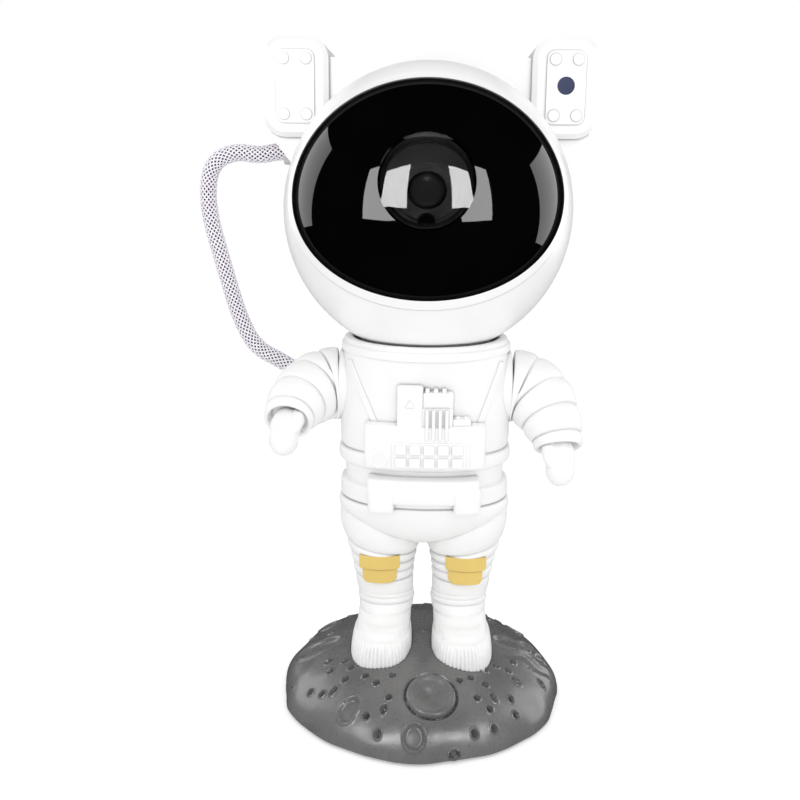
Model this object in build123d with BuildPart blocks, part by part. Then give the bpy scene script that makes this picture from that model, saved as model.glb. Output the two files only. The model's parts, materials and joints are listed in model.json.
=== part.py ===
from build123d import *
import os
from math import acos, cos, pi, radians, sin, sqrt, tan

# Star and nebula projector lamp: a small astronaut figure that stands on a cratered moon base.
# Millimetres, +Z up, the visor faces -Y. The origin is the centre of the foot pad's underside.

# ---------------------------------------------------------------- fits and walls
seat_gap = 0.05        # between pieces that are fixed to each other
running_gap = 0.05     # radial, a shaft in its bore
body_gap = 0.3         # between pieces that move past each other
shell_wall = 2.0
screw_radius = 1.2
screw_head_radius = 2.4
screw_head_height = 1.3

# ---------------------------------------------------------------- heights, from the table up
pad_thickness = 1.0
dome_height = 21.0
boot_height = 14.0
leg_length = 24.0
shoulder_height = 53.5  # from the hips up to the arms' axle
neck_rise = 10.8       # from the arms' axle up to the neck
head_lift = 0.2
helmet_radius = 47.0

dome_top = pad_thickness + dome_height
ankle_z = dome_top + boot_height
hip_z = ankle_z + leg_length
torso_height = shoulder_height + neck_rise
neck_z = hip_z + torso_height
helmet_z = neck_z + head_lift + helmet_radius

# ---------------------------------------------------------------- moon base
dome_radius = 48.5
dome_wall = 2.6
plate_thickness = 2.0
plate_rim_gap = 0.5
pad_inset = 4.5
ballast_radius = 24.0
ballast_height = 8.0
ballast_edge = 1.0
base_screw_circle = 34.0
base_screw_length = 7.0
screw_boss_radius = 3.6
boot_screw_clearance = 0.4  # between the ballast and the boots' screw heads
boot_screw_blind = 4.0      # solid boot above the screw's end
boot_bore_blind = 2.0
dome_section_angle = -32.0
crater_depth = 1.2
crater_rim_height = 0.6
crater_rim_width = 1.0
# centre x, centre y and radius of each large crater
craters = (
    (6.2, -34.6, 6.8),
    (-20.6, -38.0, 4.4),
    (1.3, -46.0, 3.6),
    (-37.0, -4.5, 7.6),
    (35.5, 5.5, 6.0),
    (-15.0, 34.0, 6.4),
    (21.0, 35.0, 4.6),
)

# ---------------------------------------------------------------- legs and boots
leg_x = 13.7
leg_top_radius = 13.3
leg_bore_radius = 6.5
peg_height = 4.0
boot_width = 22.0
boot_toe_y = -26.0
boot_heel_y = 11.5
instep_drop = 5.0
toe_rise = 1.5
ankle_radius = 10.4
patch_proud = 0.5
patch_upper_width = 15.0
patch_lower_width = 11.0
patch_top = 19.0       # above the ankle
patch_middle = 12.8
patch_bottom = 8.6
patch_gap = 0.4

# ---------------------------------------------------------------- torso
torso_half_width = 29.0
torso_half_depth = 20.9
torso_wall = 2.2
neck_tilt = 4.9
collar_half_width = 28.45
collar_half_depth = 26.2
collar_thickness = 3.7
collar_step = 1.5
collar_step_height = 2.2
shoulder_boss_x = 28.8
shoulder_boss_radius = 11.9
axle_radius = 3.0
axle_reach = 8.0
chest_x = 0.7
chest_front_y = -25.6
front_depth = 12.0
front_edge = 1.0
torso_screw_x = 13.0
torso_screw_shares = (0.2, 0.66)  # of the torso's height
torso_screw_head_y = 8.0
torso_screw_bite = 8.0
torso_screw_blind = 0.5
core_floor = 2.5
belt_low, belt_high, belt_proud = 0.235, 0.325, 0.7
rib_low, rib_high, rib_proud = 0.445, 0.515, 0.6

# ---------------------------------------------------------------- chest box and belt pouch, above the hips
box_low = 31.2
box_high = 47.0
box_half_width = 18.9
tower_high = 58.8
tower_half_width = 8.9
tower_step = 4.0       # the tower's right part is lower than its left part
tower_root = 2.0       # how far the tower reaches down into the box
tower_back = 0.8       # the tower's right part behind the box's front
tower_left_back = 0.3
tower_edge = 0.8
pouch_low = 17.6
pouch_high = 28.0
pouch_half_width = 18.4
pouch_back = 0.8
pouch_edge = 1.2
lobe_width = 9.0
lobe_drop = 2.4
lobe_top_drop = 3.0
lobe_back = 0.5
key_proud = 0.6
key_width = 3.7
key_height = 2.7
key_pitch_x = 4.5
key_pitch_z = 3.5
key_corner = 0.5
keys_x = 1.4           # from the chest box's middle
keys_up = 4.7          # above the box's foot
dial_radius = 2.1
dial_inset = 4.2
dial_up = 3.4
tube_spacing = 3.6
tube_proud_radius = 1.3
tube_first_x = 0.3
chest_tube_length = 9.0
chest_tube_root = 5.0

# ---------------------------------------------------------------- neck
dish_gap = 2.1
dish_land = 0.1        # the magnet's top below the dish
collar_edge = 0.8
ring_thickness = 1.5
ring_inner_angle = 20.0
ring_outer_angle = 32.0
magnet_radius = 9.0
magnet_height = 3.0
holder_wall = 1.5
keeper_thickness = 1.5
keeper_angle = 12.0

# ---------------------------------------------------------------- arms
arm_wall = 2.0
hub_radius = 5.0
left_arm_raise = 28.0
hand_radius = 5.2
hand_half_length = 9.5
thumb_radius = 2.4
thumb_half_length = 5.0
# offsets of a sleeve's sections from the shoulder: out, back, up, radius and direction
sleeve_sections = (
    (0.0, 0.0, 0.0, 12.3, (1.0, 0.0, 0.0)),
    (5.5, -0.6, -0.3, 12.0, (0.97, -0.15, -0.12)),
    (11.7, -3.6, -2.6, 10.9, (0.72, -0.5, -0.45)),
    (14.5, -9.0, -7.6, 9.8, (0.25, -0.74, -0.62)),
    (15.4, -15.0, -12.2, 8.9, (0.08, -0.79, -0.61)),
    (15.8, -20.0, -15.8, 7.9, (0.05, -0.79, -0.61)),
)
# places and directions of the hand and the thumb, from the shoulder
hand_point = (15.9, -24.2, -19.0)
hand_direction = (0.0, -0.62, -0.78)
thumb_point = (11.7, -22.6, -14.6)
thumb_direction = (-0.1, -0.8, -0.6)
cuff_flange = 1.0
cuff_flange_inset = 0.8
cuff_plug = 2.0

# ---------------------------------------------------------------- head shell and visor
optic_tilt = 13.0
head_seam_y = 10.0
visor_half_width = 41.4
visor_half_height = 32.8
bezel_width = 1.6
bezel_height = 2.4
bezel_proud = 0.9
visor_wall = 1.6
visor_inset = 0.3

# ---------------------------------------------------------------- optics, measured along the optic axis
lens_radius = 14.0
lens_curve = 31.0
lens_rim_lift = 0.9
lens_wall = 2.0
lens_skirt = 1.4
lens_lap = 0.8         # the lens's rim lies this far over the visor
lens_inner_drop = 0.6
barrel_wall = 1.6
frame_s = 10.0
frame_thickness = 2.0
frame_rim_gap = 0.3
light_hole_radius = 5.4
ring_s = 34.0
lens_ring_thickness = 2.0
grey_ring_radius = 8.4
grey_ring_width = 1.4
grey_ring_proud = 0.8
inner_lens_radius = 5.4
inner_lens_thickness = 4.0
inner_lens_setback = 1.0
lens_edge_share = 0.4  # of a lens's thickness
laser_radius = 2.4
laser_offset = 8.6
laser_length = 20.0
laser_setback = 1.0
laser_aperture_share = 0.4
laser_aperture_depth = 3.0
grating_lift = 0.5
grating_thickness = 0.6
board_thickness = 1.6
led_board_gap = 16.0
led_board_width = 46.0
led_board_height = 30.0
led_board_x = 5.0
post_radius = 2.0
post_inset = 3.0
chip_size = 2.6
chip_height = 0.8
chip_pitch = 4.0
tube_radius = 9.0
tube_wall = 0.9
tube_length = 8.5
condenser_thickness = 3.0
heatsink_width = 34.0
heatsink_height = 28.0
heatsink_base = 2.5
fin_length = 9.5
fin_thickness = 1.2
fin_count = 6

# ---------------------------------------------------------------- ripple wheel's drive
gear_module = 0.6
wheel_teeth = 48
pinion_teeth = 14
pressure_angle = 20.0
addendum = 0.8         # in modules
dedendum = 1.2
backlash = 0.12
wheel_x = 9.0
wheel_s = 5.2
wheel_thickness = 1.5
wheel_axle_radius = 1.5
wheel_hub_radius = 3.2
wheel_hub_back = 0.9
axle_head_radius = 2.6
axle_head_height = 1.0
pinion_thickness = 2.4
motor_shaft_radius = 0.75
motor_radius = 6.0
motor_length = 12.0
motor_bore_depth = 5.0
motor_shaft_blind = 1.0
motor_boss_share = 0.4
motor_boss_height = 1.0

# ---------------------------------------------------------------- backpack
pack_front_y = 12.0
pack_lead = 3.0        # from the helmet's back to the cover's seam
pack_cover_depth = 8.0
pack_cover_y = helmet_radius + pack_lead
pack_back_y = pack_cover_y + pack_cover_depth
pack_wall = 2.0
pack_top_z = helmet_z + 52.9
shoulder_line_z = helmet_z + 49.1
pack_bottom_z = helmet_z - 29.5
pack_bottom_x = 36.0
pack_waist_x = 39.0
pack_waist_z = helmet_z + 5.5
bridge_top_x = 16.0
bridge_bottom_x = 23.0
ear_width = 21.6
ear_height = 32.0
ear_x = 44.2
ear_z = helmet_z + 39.5
ear_corner = 7.0
ear_front_y = 8.0
ear_bevel = 1.6
ear_panel_inset = 4.5
ear_panel_proud = 0.5
rivet_radius = 1.75
rivet_proud = 0.5
rivet_pitch_x = 7.4
rivet_pitch_z = 17.5
window_radius = 2.8
pack_corner = 3.0
flank_step = 2.0
cover_edge = 2.0
vent_count = 5
vent_pitch = 4.0
vent_width = 24.0
vent_height = 1.6
vent_drop = 6.0
vent_z = helmet_z - vent_drop
cable_hole_radius = 4.0
cable_hole_up = 12.0
cable_hole_z = helmet_z + cable_hole_up
pack_screw_x = 30.0
pack_screw_up = 8.0    # above the pack's foot
pack_screw_drop = 6.0  # below its shoulder line
cover_screw_reach = 9.0
cover_screw_blind = 1.0
pack_screw_recess = 0.2
window_lift = 0.6

# ---------------------------------------------------------------- electronics in the pack
board_setback = 4.0    # from the board to the cover's seam
main_board_y = pack_cover_y - board_setback
main_board_width = 50.0
main_board_height = 25.0
main_board_up = 31.0
main_board_z = helmet_z + main_board_up
board_post_x = 21.0
board_post_z = 9.0
switch_size = 6.0
switch_height = 3.5
plunger_radius = 1.6
plunger_height = 0.5
button_radius = 4.0
button_pitch = 13.0
button_up = 3.0        # above the board's middle
button_z = main_board_z + button_up
button_proud = 1.0
button_travel = 0.6
button_flange = 1.0
button_flange_height = 1.2
button_edge = 0.5
usb_width = 9.0
usb_height = 3.2
usb_wall = 0.35
usb_recess = 0.6
usb_drop = 8.5         # below the board's middle
usb_z = main_board_z - usb_drop
usb_corner_share = 0.45
usb_mouth_share = 0.35
usb_mouth_depth = 6.0
usb_tongue_inset = 1.3
usb_tongue_thickness = 0.7
usb_tongue_setback = 1.0
usb_tongue_length = 5.0
board_post_flange = 0.6
receiver_size = 6.0
receiver_depth = 3.0

# ---------------------------------------------------------------- hose
hose_radius = 3.0
socket_radius = 4.4
socket_length = 7.0
hose_route_upper = (
    (-49.6, 22.0, 190.4),
    (-59.0, 22.0, 191.6),
    (-69.0, 21.8, 189.8),
    (-76.5, 21.4, 184.0),
    (-79.3, 21.0, 175.0),
    (-76.3, 20.5, 164.5),
    (-71.0, 20.0, 153.5),
)
hose_joint = (-68.0, 19.75, 147.5)
hose_route_lower = (
    (-65.0, 19.5, 141.5),
    (-58.5, 19.0, 129.5),
    (-51.0, 18.8, 117.5),
    (-42.5, 19.2, 109.5),
    (-32.5, 19.2, 105.6),
    (-22.6, 16.8, 104.4),
)

os.makedirs("parts", exist_ok=True)


def save(piece, name):
    """Label a finished piece and write it to its own file."""
    piece.part.label = name
    export_step(piece.part, f"parts/{name}.step")


# ================================================================ moon base
# the dome's section lies where no crater or boss crosses it
dome_section = Plane(
    origin=(0, 0, 0),
    x_dir=(cos(radians(dome_section_angle)), sin(radians(dome_section_angle)), 0),
    z_dir=(sin(radians(dome_section_angle)), -cos(radians(dome_section_angle)), 0),
)


def dome_form(inset):
    """Solid dome, drawn in from the outer skin, with its flat underside on the pad."""
    with BuildPart() as form:
        with BuildSketch(dome_section):
            with BuildLine():
                arc = Spline(
                    *[
                        (
                            (dome_radius - inset) * cos(radians(angle)),
                            pad_thickness + (dome_height - inset) * sin(radians(angle)),
                        )
                        for angle in range(0, 91, 15)
                    ],
                    tangents=((0, 1), (-1, 0)),
                )
                Polyline(arc @ 1, (0, pad_thickness), arc @ 0)
            make_face()
        revolve(axis=Axis.Z)
    return form


def dome_plane(x, y):
    """Plane that touches the dome's skin above (x, y), with its normal outwards."""
    z = dome_height * sqrt(1 - (x * x + y * y) / dome_radius**2)
    normal = (x / dome_radius**2, y / dome_radius**2, z / dome_height**2)
    return Plane(origin=(x, y, pad_thickness + z), z_dir=normal)


plate_top = pad_thickness + plate_thickness
boot_boss_bottom = plate_top + ballast_height + screw_head_height + boot_screw_clearance
dome = dome_form(0)

with BuildPart() as base_bosses:
    with BuildSketch(Plane.XY.offset(plate_top)):
        with PolarLocations(base_screw_circle, 4, start_angle=45):
            Circle(screw_boss_radius)
    extrude(amount=dome_height)
    with BuildSketch(Plane.XY.offset(boot_boss_bottom)):
        with Locations((-leg_x, 0), (leg_x, 0)):
            Circle(screw_boss_radius)
    extrude(amount=dome_height)
    add(dome_form(dome_wall / 2).part, mode=Mode.INTERSECT)

with BuildPart() as crater_rims:
    for x, y, radius in craters:
        with BuildSketch(dome_plane(x, y).offset(-dome_wall / 2)):
            Circle(radius + crater_rim_width)
        extrude(amount=dome_wall)
    add(dome_form(-crater_rim_height).part, mode=Mode.INTERSECT)

with BuildPart() as crater_bowls:
    for x, y, radius in craters:
        with BuildSketch(dome_plane(x, y).offset(-3 * crater_depth)):
            Circle(radius)
        extrude(amount=6 * crater_depth)
    add(dome_form(crater_depth).part, mode=Mode.SUBTRACT)

with BuildPart() as moon_base:
    add(dome.part)
    add(dome_form(dome_wall).part, mode=Mode.SUBTRACT)
    add(base_bosses.part)
    add(crater_rims.part)
    add(crater_bowls.part, mode=Mode.SUBTRACT)
    with BuildSketch(Plane.XY.offset(plate_top)):
        with PolarLocations(base_screw_circle, 4, start_angle=45):
            Circle(screw_radius + seat_gap)
    extrude(amount=base_screw_length, mode=Mode.SUBTRACT)
    with BuildSketch(Plane.XY.offset(boot_boss_bottom)):
        with Locations((-leg_x, 0), (leg_x, 0)):
            Circle(screw_radius + seat_gap)
    extrude(amount=dome_height, mode=Mode.SUBTRACT)
save(moon_base, "moon_base")

plate_radius = dome_radius - dome_wall - plate_rim_gap
with BuildPart() as base_plate:
    with BuildSketch(Plane.XY.offset(pad_thickness)):
        Circle(plate_radius)
    extrude(amount=plate_thickness)
    with BuildSketch(Plane.XY.offset(pad_thickness)):
        with PolarLocations(base_screw_circle, 4, start_angle=45):
            Circle(screw_head_radius + seat_gap)
    extrude(amount=screw_head_height, mode=Mode.SUBTRACT)
    with BuildSketch(Plane.XY.offset(pad_thickness)):
        with PolarLocations(base_screw_circle, 4, start_angle=45):
            Circle(screw_radius + seat_gap)
    extrude(amount=plate_thickness, mode=Mode.SUBTRACT)
save(base_plate, "base_plate")

with BuildPart() as foot_pad:
    with BuildSketch():
        Circle(dome_radius - pad_inset)
    extrude(amount=pad_thickness)
save(foot_pad, "foot_pad")

with BuildPart() as ballast:
    with BuildSketch(Plane.XY.offset(plate_top)):
        Circle(ballast_radius)
    extrude(amount=ballast_height)
    chamfer(ballast.faces().sort_by(Axis.Z)[-1].edges(), ballast_edge)
save(ballast, "ballast")


def upright_screws(spots, head_z, length):
    """Pan-head screws that point up, with their heads' undersides at head_z."""
    with BuildPart() as screws:
        with BuildSketch(Plane.XY.offset(head_z)):
            with Locations(*spots):
                Circle(screw_head_radius)
        extrude(amount=screw_head_height)
        with BuildSketch(Plane.XY.offset(head_z + screw_head_height)):
            with Locations(*spots):
                Circle(screw_radius)
        extrude(amount=length)
    return screws


base_screw_spots = [
    (base_screw_circle * cos(radians(angle)), base_screw_circle * sin(radians(angle)))
    for angle in (45, 135, 225, 315)
]
base_screws = upright_screws(base_screw_spots, pad_thickness, base_screw_length)
save(base_screws, "base_screws")

boot_screw_length = ankle_z - boot_boss_bottom - boot_screw_blind
boot_screws = upright_screws(
    [(-leg_x, 0), (leg_x, 0)], boot_boss_bottom - screw_head_height, boot_screw_length
)
save(boot_screws, "boot_screws")

# ================================================================ boots and legs
leg_outline = ((0.0, 0.75), (0.12, 0.72), (0.3, 0.77), (0.48, 0.83), (0.62, 0.85), (0.8, 0.92), (1.0, 1.0))


def leg_form(x, proud):
    """Solid leg, thickened by proud, from the ankle to the hip."""
    with BuildPart() as form:
        with BuildSketch(Plane.XZ):
            with BuildLine():
                skin = Spline(
                    *[
                        (x + leg_top_radius * share + proud, ankle_z + leg_length * up)
                        for up, share in leg_outline
                    ]
                )
                Polyline(skin @ 1, (x, hip_z), (x, ankle_z), skin @ 0)
            make_face()
        revolve(axis=Axis((x, 0, 0), (0, 0, 1)))
    return form


with BuildPart() as knee_patches:
    for x in (-leg_x, leg_x):
        for low, high, width in (
            (patch_middle, patch_top, patch_upper_width),
            (patch_bottom, patch_middle - patch_gap, patch_lower_width),
        ):
            with BuildPart(mode=Mode.PRIVATE) as patch:
                with BuildSketch(Plane.XY.offset(ankle_z + low)):
                    with Locations((x, -leg_top_radius)):
                        Rectangle(width, 2 * leg_top_radius)
                extrude(amount=high - low)
                add(leg_form(x, patch_proud).part, mode=Mode.INTERSECT)
                add(leg_form(x, 0).part, mode=Mode.SUBTRACT)
            add(patch.part)
save(knee_patches, "knee_patches")

for x, side in ((-leg_x, "left"), (leg_x, "right")):
    with BuildPart() as boot:
        with BuildSketch(Plane.XY.offset(dome_top - dome_height / 2)):
            with Locations((x, (boot_toe_y + boot_heel_y) / 2)):
                RectangleRounded(boot_width, boot_heel_y - boot_toe_y, boot_width * 0.45)
        extrude(amount=dome_height / 2 + toe_rise)
        with BuildSketch(Plane.XY.offset(dome_top + toe_rise)):
            with Locations((x, (boot_toe_y + boot_heel_y) / 2)):
                RectangleRounded(boot_width, boot_heel_y - boot_toe_y, boot_width * 0.45)
        with BuildSketch(Plane.XY.offset(ankle_z - instep_drop)):
            with Locations((x, boot_heel_y - ankle_radius * 1.3)):
                RectangleRounded(2 * ankle_radius - 1, 2.4 * ankle_radius, ankle_radius * 0.85)
        loft()
        with BuildSketch(Plane.XY.offset(dome_top)):
            with Locations((x, 0)):
                Circle(ankle_radius)
        extrude(amount=boot_height)
        with BuildSketch(Plane.XY.offset(ankle_z)):
            with Locations((x, 0)):
                Circle(leg_bore_radius - seat_gap)
        extrude(amount=peg_height)
        add(dome.part, mode=Mode.SUBTRACT)
        with BuildSketch(Plane.XY.offset(dome_top - dome_height / 2)):
            with Locations((x, 0)):
                Circle(screw_radius + seat_gap)
        extrude(amount=dome_height / 2 + boot_height - boot_bore_blind, mode=Mode.SUBTRACT)
    save(boot, f"boot_{side}")

    with BuildPart() as leg:
        add(leg_form(x, 0).part)
        with BuildSketch(Plane.XY.offset(hip_z)):
            with Locations((x, 0)):
                Circle(leg_bore_radius + shell_wall)
        extrude(amount=peg_height)
        with BuildSketch(Plane.XY.offset(ankle_z)):
            with Locations((x, 0)):
                Circle(leg_bore_radius)
        extrude(amount=leg_length + peg_height, mode=Mode.SUBTRACT)
    save(leg, f"leg_{side}")

# ================================================================ torso
# share of the torso's height, and half width and half depth as shares of the chest's
torso_outline = (
    (0.00, 0.935, 0.69),
    (0.06, 0.980, 0.84),
    (0.16, 1.017, 0.96),
    (0.25, 0.980, 0.98),
    (0.33, 0.972, 0.97),
    (0.39, 0.948, 0.95),
    (0.48, 1.007, 1.01),
    (0.58, 1.000, 1.00),
    (0.76, 0.966, 0.99),
    (0.90, 0.940, 1.06),
    (1.00, 0.945, 1.17),
    (1.08, 0.940, 1.20),
)
neck_plane = Plane(
    origin=(0, 0, neck_z), x_dir=(1, 0, 0), z_dir=(0, -sin(radians(neck_tilt)), cos(radians(neck_tilt)))
)
shoulder_z = hip_z + shoulder_height
head_centre = (0, 0, helmet_z)


def torso_z(share):
    """Height of a level that is given as a share of the torso's height."""
    return hip_z + share * torso_height


def torso_form(grow):
    """Solid torso, thickened by grow, up to the tilted neck plane."""
    with BuildPart() as form:
        for share, width, depth in torso_outline:
            with BuildSketch(Plane.XY.offset(torso_z(share))):
                Ellipse(torso_half_width * width + grow, torso_half_depth * depth + grow)
        loft()
        split(bisect_by=neck_plane, keep=Keep.BOTTOM)
    return form


def torso_band(low, high, proud):
    """Raised band round the torso between two shares of its height."""
    with BuildPart() as band:
        with BuildSketch(Plane.XY.offset(torso_z(low))):
            Circle(2 * torso_half_width)
        extrude(amount=(high - low) * torso_height)
        add(torso_form(proud).part, mode=Mode.INTERSECT)
    return band


with BuildPart() as shoulder_boss:
    with BuildSketch(Plane.YZ.offset(-shoulder_boss_x)):
        with Locations((0, shoulder_z)):
            Circle(shoulder_boss_radius)
    extrude(amount=2 * shoulder_boss_x)

with BuildPart() as torso_core:
    add(torso_form(-torso_wall).part)
    with BuildSketch(Plane.YZ.offset(torso_wall - shoulder_boss_x)):
        with Locations((0, shoulder_z)):
            Circle(shoulder_boss_radius - torso_wall)
    extrude(amount=2 * (shoulder_boss_x - torso_wall))
    split(bisect_by=Plane.XY.offset(hip_z + core_floor), keep=Keep.TOP)
    split(bisect_by=neck_plane.offset(-core_floor), keep=Keep.BOTTOM)
    with BuildSketch(Plane.YZ.offset(-shoulder_boss_x)):
        with Locations((0, shoulder_z)):
            Circle(axle_radius + shell_wall)
    extrude(amount=2 * shoulder_boss_x, mode=Mode.SUBTRACT)
    with BuildSketch(Plane.XZ.offset(-torso_half_depth * 1.2)):
        with Locations(
            *[(x, torso_z(share)) for x in (-torso_screw_x, torso_screw_x) for share in torso_screw_shares]
        ):
            Circle(screw_radius + shell_wall)
    extrude(amount=2.4 * torso_half_depth, mode=Mode.SUBTRACT)

holder_radius = magnet_radius + holder_wall
dish_radius = helmet_radius + dish_gap
magnet_top = helmet_z - dish_radius - dish_land

with BuildPart() as torso_openings:
    with BuildSketch(Plane.YZ.offset(-shoulder_boss_x - 1)):
        with Locations((0, shoulder_z)):
            Circle(axle_radius + seat_gap)
    extrude(amount=2 * shoulder_boss_x + 2)
    with BuildSketch(Plane.XY.offset(magnet_top - magnet_height - holder_wall - seat_gap)):
        Circle(holder_radius + seat_gap)
    extrude(amount=torso_height)
    with BuildSketch(Plane.XY.offset(hip_z - 1)):
        with Locations((-leg_x, 0), (leg_x, 0)):
            Circle(leg_bore_radius + shell_wall + seat_gap)
    extrude(amount=peg_height + 1 + seat_gap)
    with Locations(head_centre):
        Sphere(dish_radius)

# chest box with its tower, pads and dial, and the belt pouch, drawn on the front
def front_block(x, low, high, half_width, front_y, edge):
    """Block on the figure's front, between two heights above the hips, with a softened front."""
    with BuildPart() as block:
        with BuildSketch(Plane.XZ.offset(-front_y)):
            with Locations((x, hip_z + (low + high) / 2)):
                RectangleRounded(2 * half_width, high - low, edge)
        extrude(amount=-front_depth)
        chamfer(block.faces().sort_by(Axis.Y)[0].edges(), edge * 0.6)
    return block


tower_left_x = chest_x - tower_half_width / 2 - tower_left_back
tower_left_y = chest_front_y + tower_left_back
tower_right_y = chest_front_y + tower_back
tower_low = box_high - tower_root
pouch_y = chest_front_y + pouch_back
lobe_y = chest_front_y + lobe_back
with BuildPart() as chest_pack:
    add(front_block(chest_x, box_low, box_high, box_half_width, chest_front_y, front_edge).part)
    add(
        front_block(
            chest_x, tower_low, tower_high - tower_step, tower_half_width, tower_right_y, tower_edge
        ).part
    )
    add(front_block(tower_left_x, tower_low, tower_high, tower_half_width / 2, tower_left_y, tower_edge).part)
    add(front_block(chest_x, pouch_low, pouch_high, pouch_half_width, pouch_y, pouch_edge).part)
    for side in (-1, 1):
        lobe_x = chest_x + side * (pouch_half_width - lobe_width / 2)
        add(
            front_block(
                lobe_x, pouch_low - lobe_drop, pouch_high - lobe_top_drop, lobe_width / 2, lobe_y, pouch_edge
            ).part
        )
    with BuildSketch(Plane.XZ.offset(-chest_front_y)):
        with Locations((chest_x + keys_x, hip_z + box_low + keys_up)):
            with GridLocations(key_pitch_x, key_pitch_z, 5, 2):
                RectangleRounded(key_width, key_height, key_corner)
        with Locations((chest_x - box_half_width + dial_inset, hip_z + box_low + dial_up)):
            Circle(dial_radius)
    extrude(amount=key_proud)
    for step in (0, 1, 2):
        with BuildSketch(Plane.XY.offset(hip_z + box_high - chest_tube_root)):
            with Locations((chest_x - tube_first_x + step * tube_spacing, tower_right_y)):
                Circle(tube_proud_radius)
        extrude(amount=chest_tube_length)

with BuildPart() as torso_skin:
    add(torso_form(0).part)
    add(shoulder_boss.part)
    add(torso_band(belt_low, belt_high, belt_proud).part)
    add(torso_band(rib_low, rib_high, rib_proud).part)
    split(bisect_by=neck_plane, keep=Keep.BOTTOM)

torso_screw_spots = [
    (x, torso_z(share)) for x in (-torso_screw_x, torso_screw_x) for share in torso_screw_shares
]

with BuildPart() as torso_front:
    add(torso_skin.part)
    add(chest_pack.part)
    add(torso_core.part, mode=Mode.SUBTRACT)
    add(torso_openings.part, mode=Mode.SUBTRACT)
    split(bisect_by=Plane.XZ, keep=Keep.TOP)
    with BuildSketch(Plane.XZ):
        with Locations(*torso_screw_spots):
            Circle(screw_radius + seat_gap)
    extrude(amount=torso_screw_bite + torso_screw_blind, mode=Mode.SUBTRACT)
save(torso_front, "torso_front")

socket_lower_plane = Plane(
    origin=hose_route_lower[-1], z_dir=Vector(*hose_route_lower[-2]) - Vector(*hose_route_lower[-1])
)
with BuildPart() as torso_back:
    add(torso_skin.part)
    add(torso_core.part, mode=Mode.SUBTRACT)
    add(torso_openings.part, mode=Mode.SUBTRACT)
    split(bisect_by=Plane.XZ, keep=Keep.BOTTOM)
    with BuildSketch(Plane.XZ):
        with Locations(*torso_screw_spots):
            Circle(screw_radius + seat_gap)
    extrude(amount=-torso_screw_head_y, mode=Mode.SUBTRACT)
    with BuildSketch(Plane.XZ.offset(-torso_screw_head_y)):
        with Locations(*torso_screw_spots):
            Circle(screw_head_radius + seat_gap)
    extrude(amount=-torso_half_depth, mode=Mode.SUBTRACT)
    with BuildSketch(socket_lower_plane.offset(-socket_length)):
        Circle(socket_radius + seat_gap)
    extrude(amount=2 * socket_length, mode=Mode.SUBTRACT)
save(torso_back, "torso_back")

with BuildPart() as torso_screws:
    with BuildSketch(Plane.XZ.offset(-torso_screw_head_y)):
        with Locations(*torso_screw_spots):
            Circle(screw_head_radius)
    extrude(amount=-screw_head_height)
    with BuildSketch(Plane.XZ.offset(-torso_screw_head_y)):
        with Locations(*torso_screw_spots):
            Circle(screw_radius)
    extrude(amount=torso_screw_head_y + torso_screw_bite)
save(torso_screws, "torso_screws")

with BuildPart() as shoulder_axle:
    with BuildSketch(Plane.YZ.offset(-shoulder_boss_x - axle_reach)):
        with Locations((0, shoulder_z)):
            Circle(axle_radius)
    extrude(amount=2 * (shoulder_boss_x + axle_reach))
save(shoulder_axle, "shoulder_axle")


def hose_socket(plane):
    """Fitting whose outer end, on the plane, is the hose's start."""
    with BuildPart() as socket:
        with BuildSketch(plane):
            Circle(socket_radius)
        extrude(amount=-socket_length)
        with BuildSketch(plane):
            Circle(hose_radius - shell_wall / 2)
        extrude(amount=-socket_length, mode=Mode.SUBTRACT)
    return socket


save(hose_socket(socket_lower_plane), "hose_socket_lower")

# ================================================================ neck
with BuildPart() as collar:
    with BuildSketch(neck_plane):
        Ellipse(collar_half_width, collar_half_depth)
    extrude(amount=collar_thickness)
    chamfer(collar.faces().sort_by(Axis.Z)[-1].edges(), collar_edge)
    with BuildSketch(neck_plane.offset(collar_thickness)):
        Ellipse(collar_half_width - collar_step, collar_half_depth - collar_step)
    extrude(amount=collar_step_height)
    with Locations(head_centre):
        Sphere(dish_radius, mode=Mode.SUBTRACT)
save(collar, "collar")

with BuildPart() as magnet_holder:
    with BuildSketch(Plane.XY.offset(magnet_top - magnet_height - holder_wall)):
        Circle(holder_radius)
    extrude(amount=magnet_height + holder_wall)
    with BuildSketch(Plane.XY.offset(magnet_top - magnet_height)):
        Circle(magnet_radius + seat_gap)
    extrude(amount=magnet_height, mode=Mode.SUBTRACT)
save(magnet_holder, "magnet_holder")

with BuildPart() as neck_magnet:
    with BuildSketch(Plane.XY.offset(magnet_top - magnet_height)):
        Circle(magnet_radius)
    extrude(amount=magnet_height)
save(neck_magnet, "neck_magnet")


def ball_shell(inner, outer, first_angle, last_angle):
    """Zone of a spherical shell round the helmet's centre, between two angles from straight down."""
    with BuildPart() as zone:
        with BuildSketch(Plane.XZ):
            with BuildLine():
                outside = CenterArc((0, helmet_z), outer, first_angle - 90, last_angle - first_angle)
                inside = CenterArc((0, helmet_z), inner, first_angle - 90, last_angle - first_angle)
                Line(outside @ 0, inside @ 0)
                Line(outside @ 1, inside @ 1)
            make_face()
        revolve(axis=Axis((0, 0, helmet_z), (0, 0, 1)))
    return zone


ring_inside = helmet_radius + body_gap
neck_ring = ball_shell(ring_inside, ring_inside + ring_thickness, ring_inner_angle, ring_outer_angle)
save(neck_ring, "neck_ring")

helmet_inside = helmet_radius - shell_wall
keeper_cap = ball_shell(helmet_inside - keeper_thickness, helmet_inside, 0, keeper_angle)
save(keeper_cap, "keeper_cap")

# ================================================================ arms
shoulder_x = shoulder_boss_x + body_gap


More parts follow.
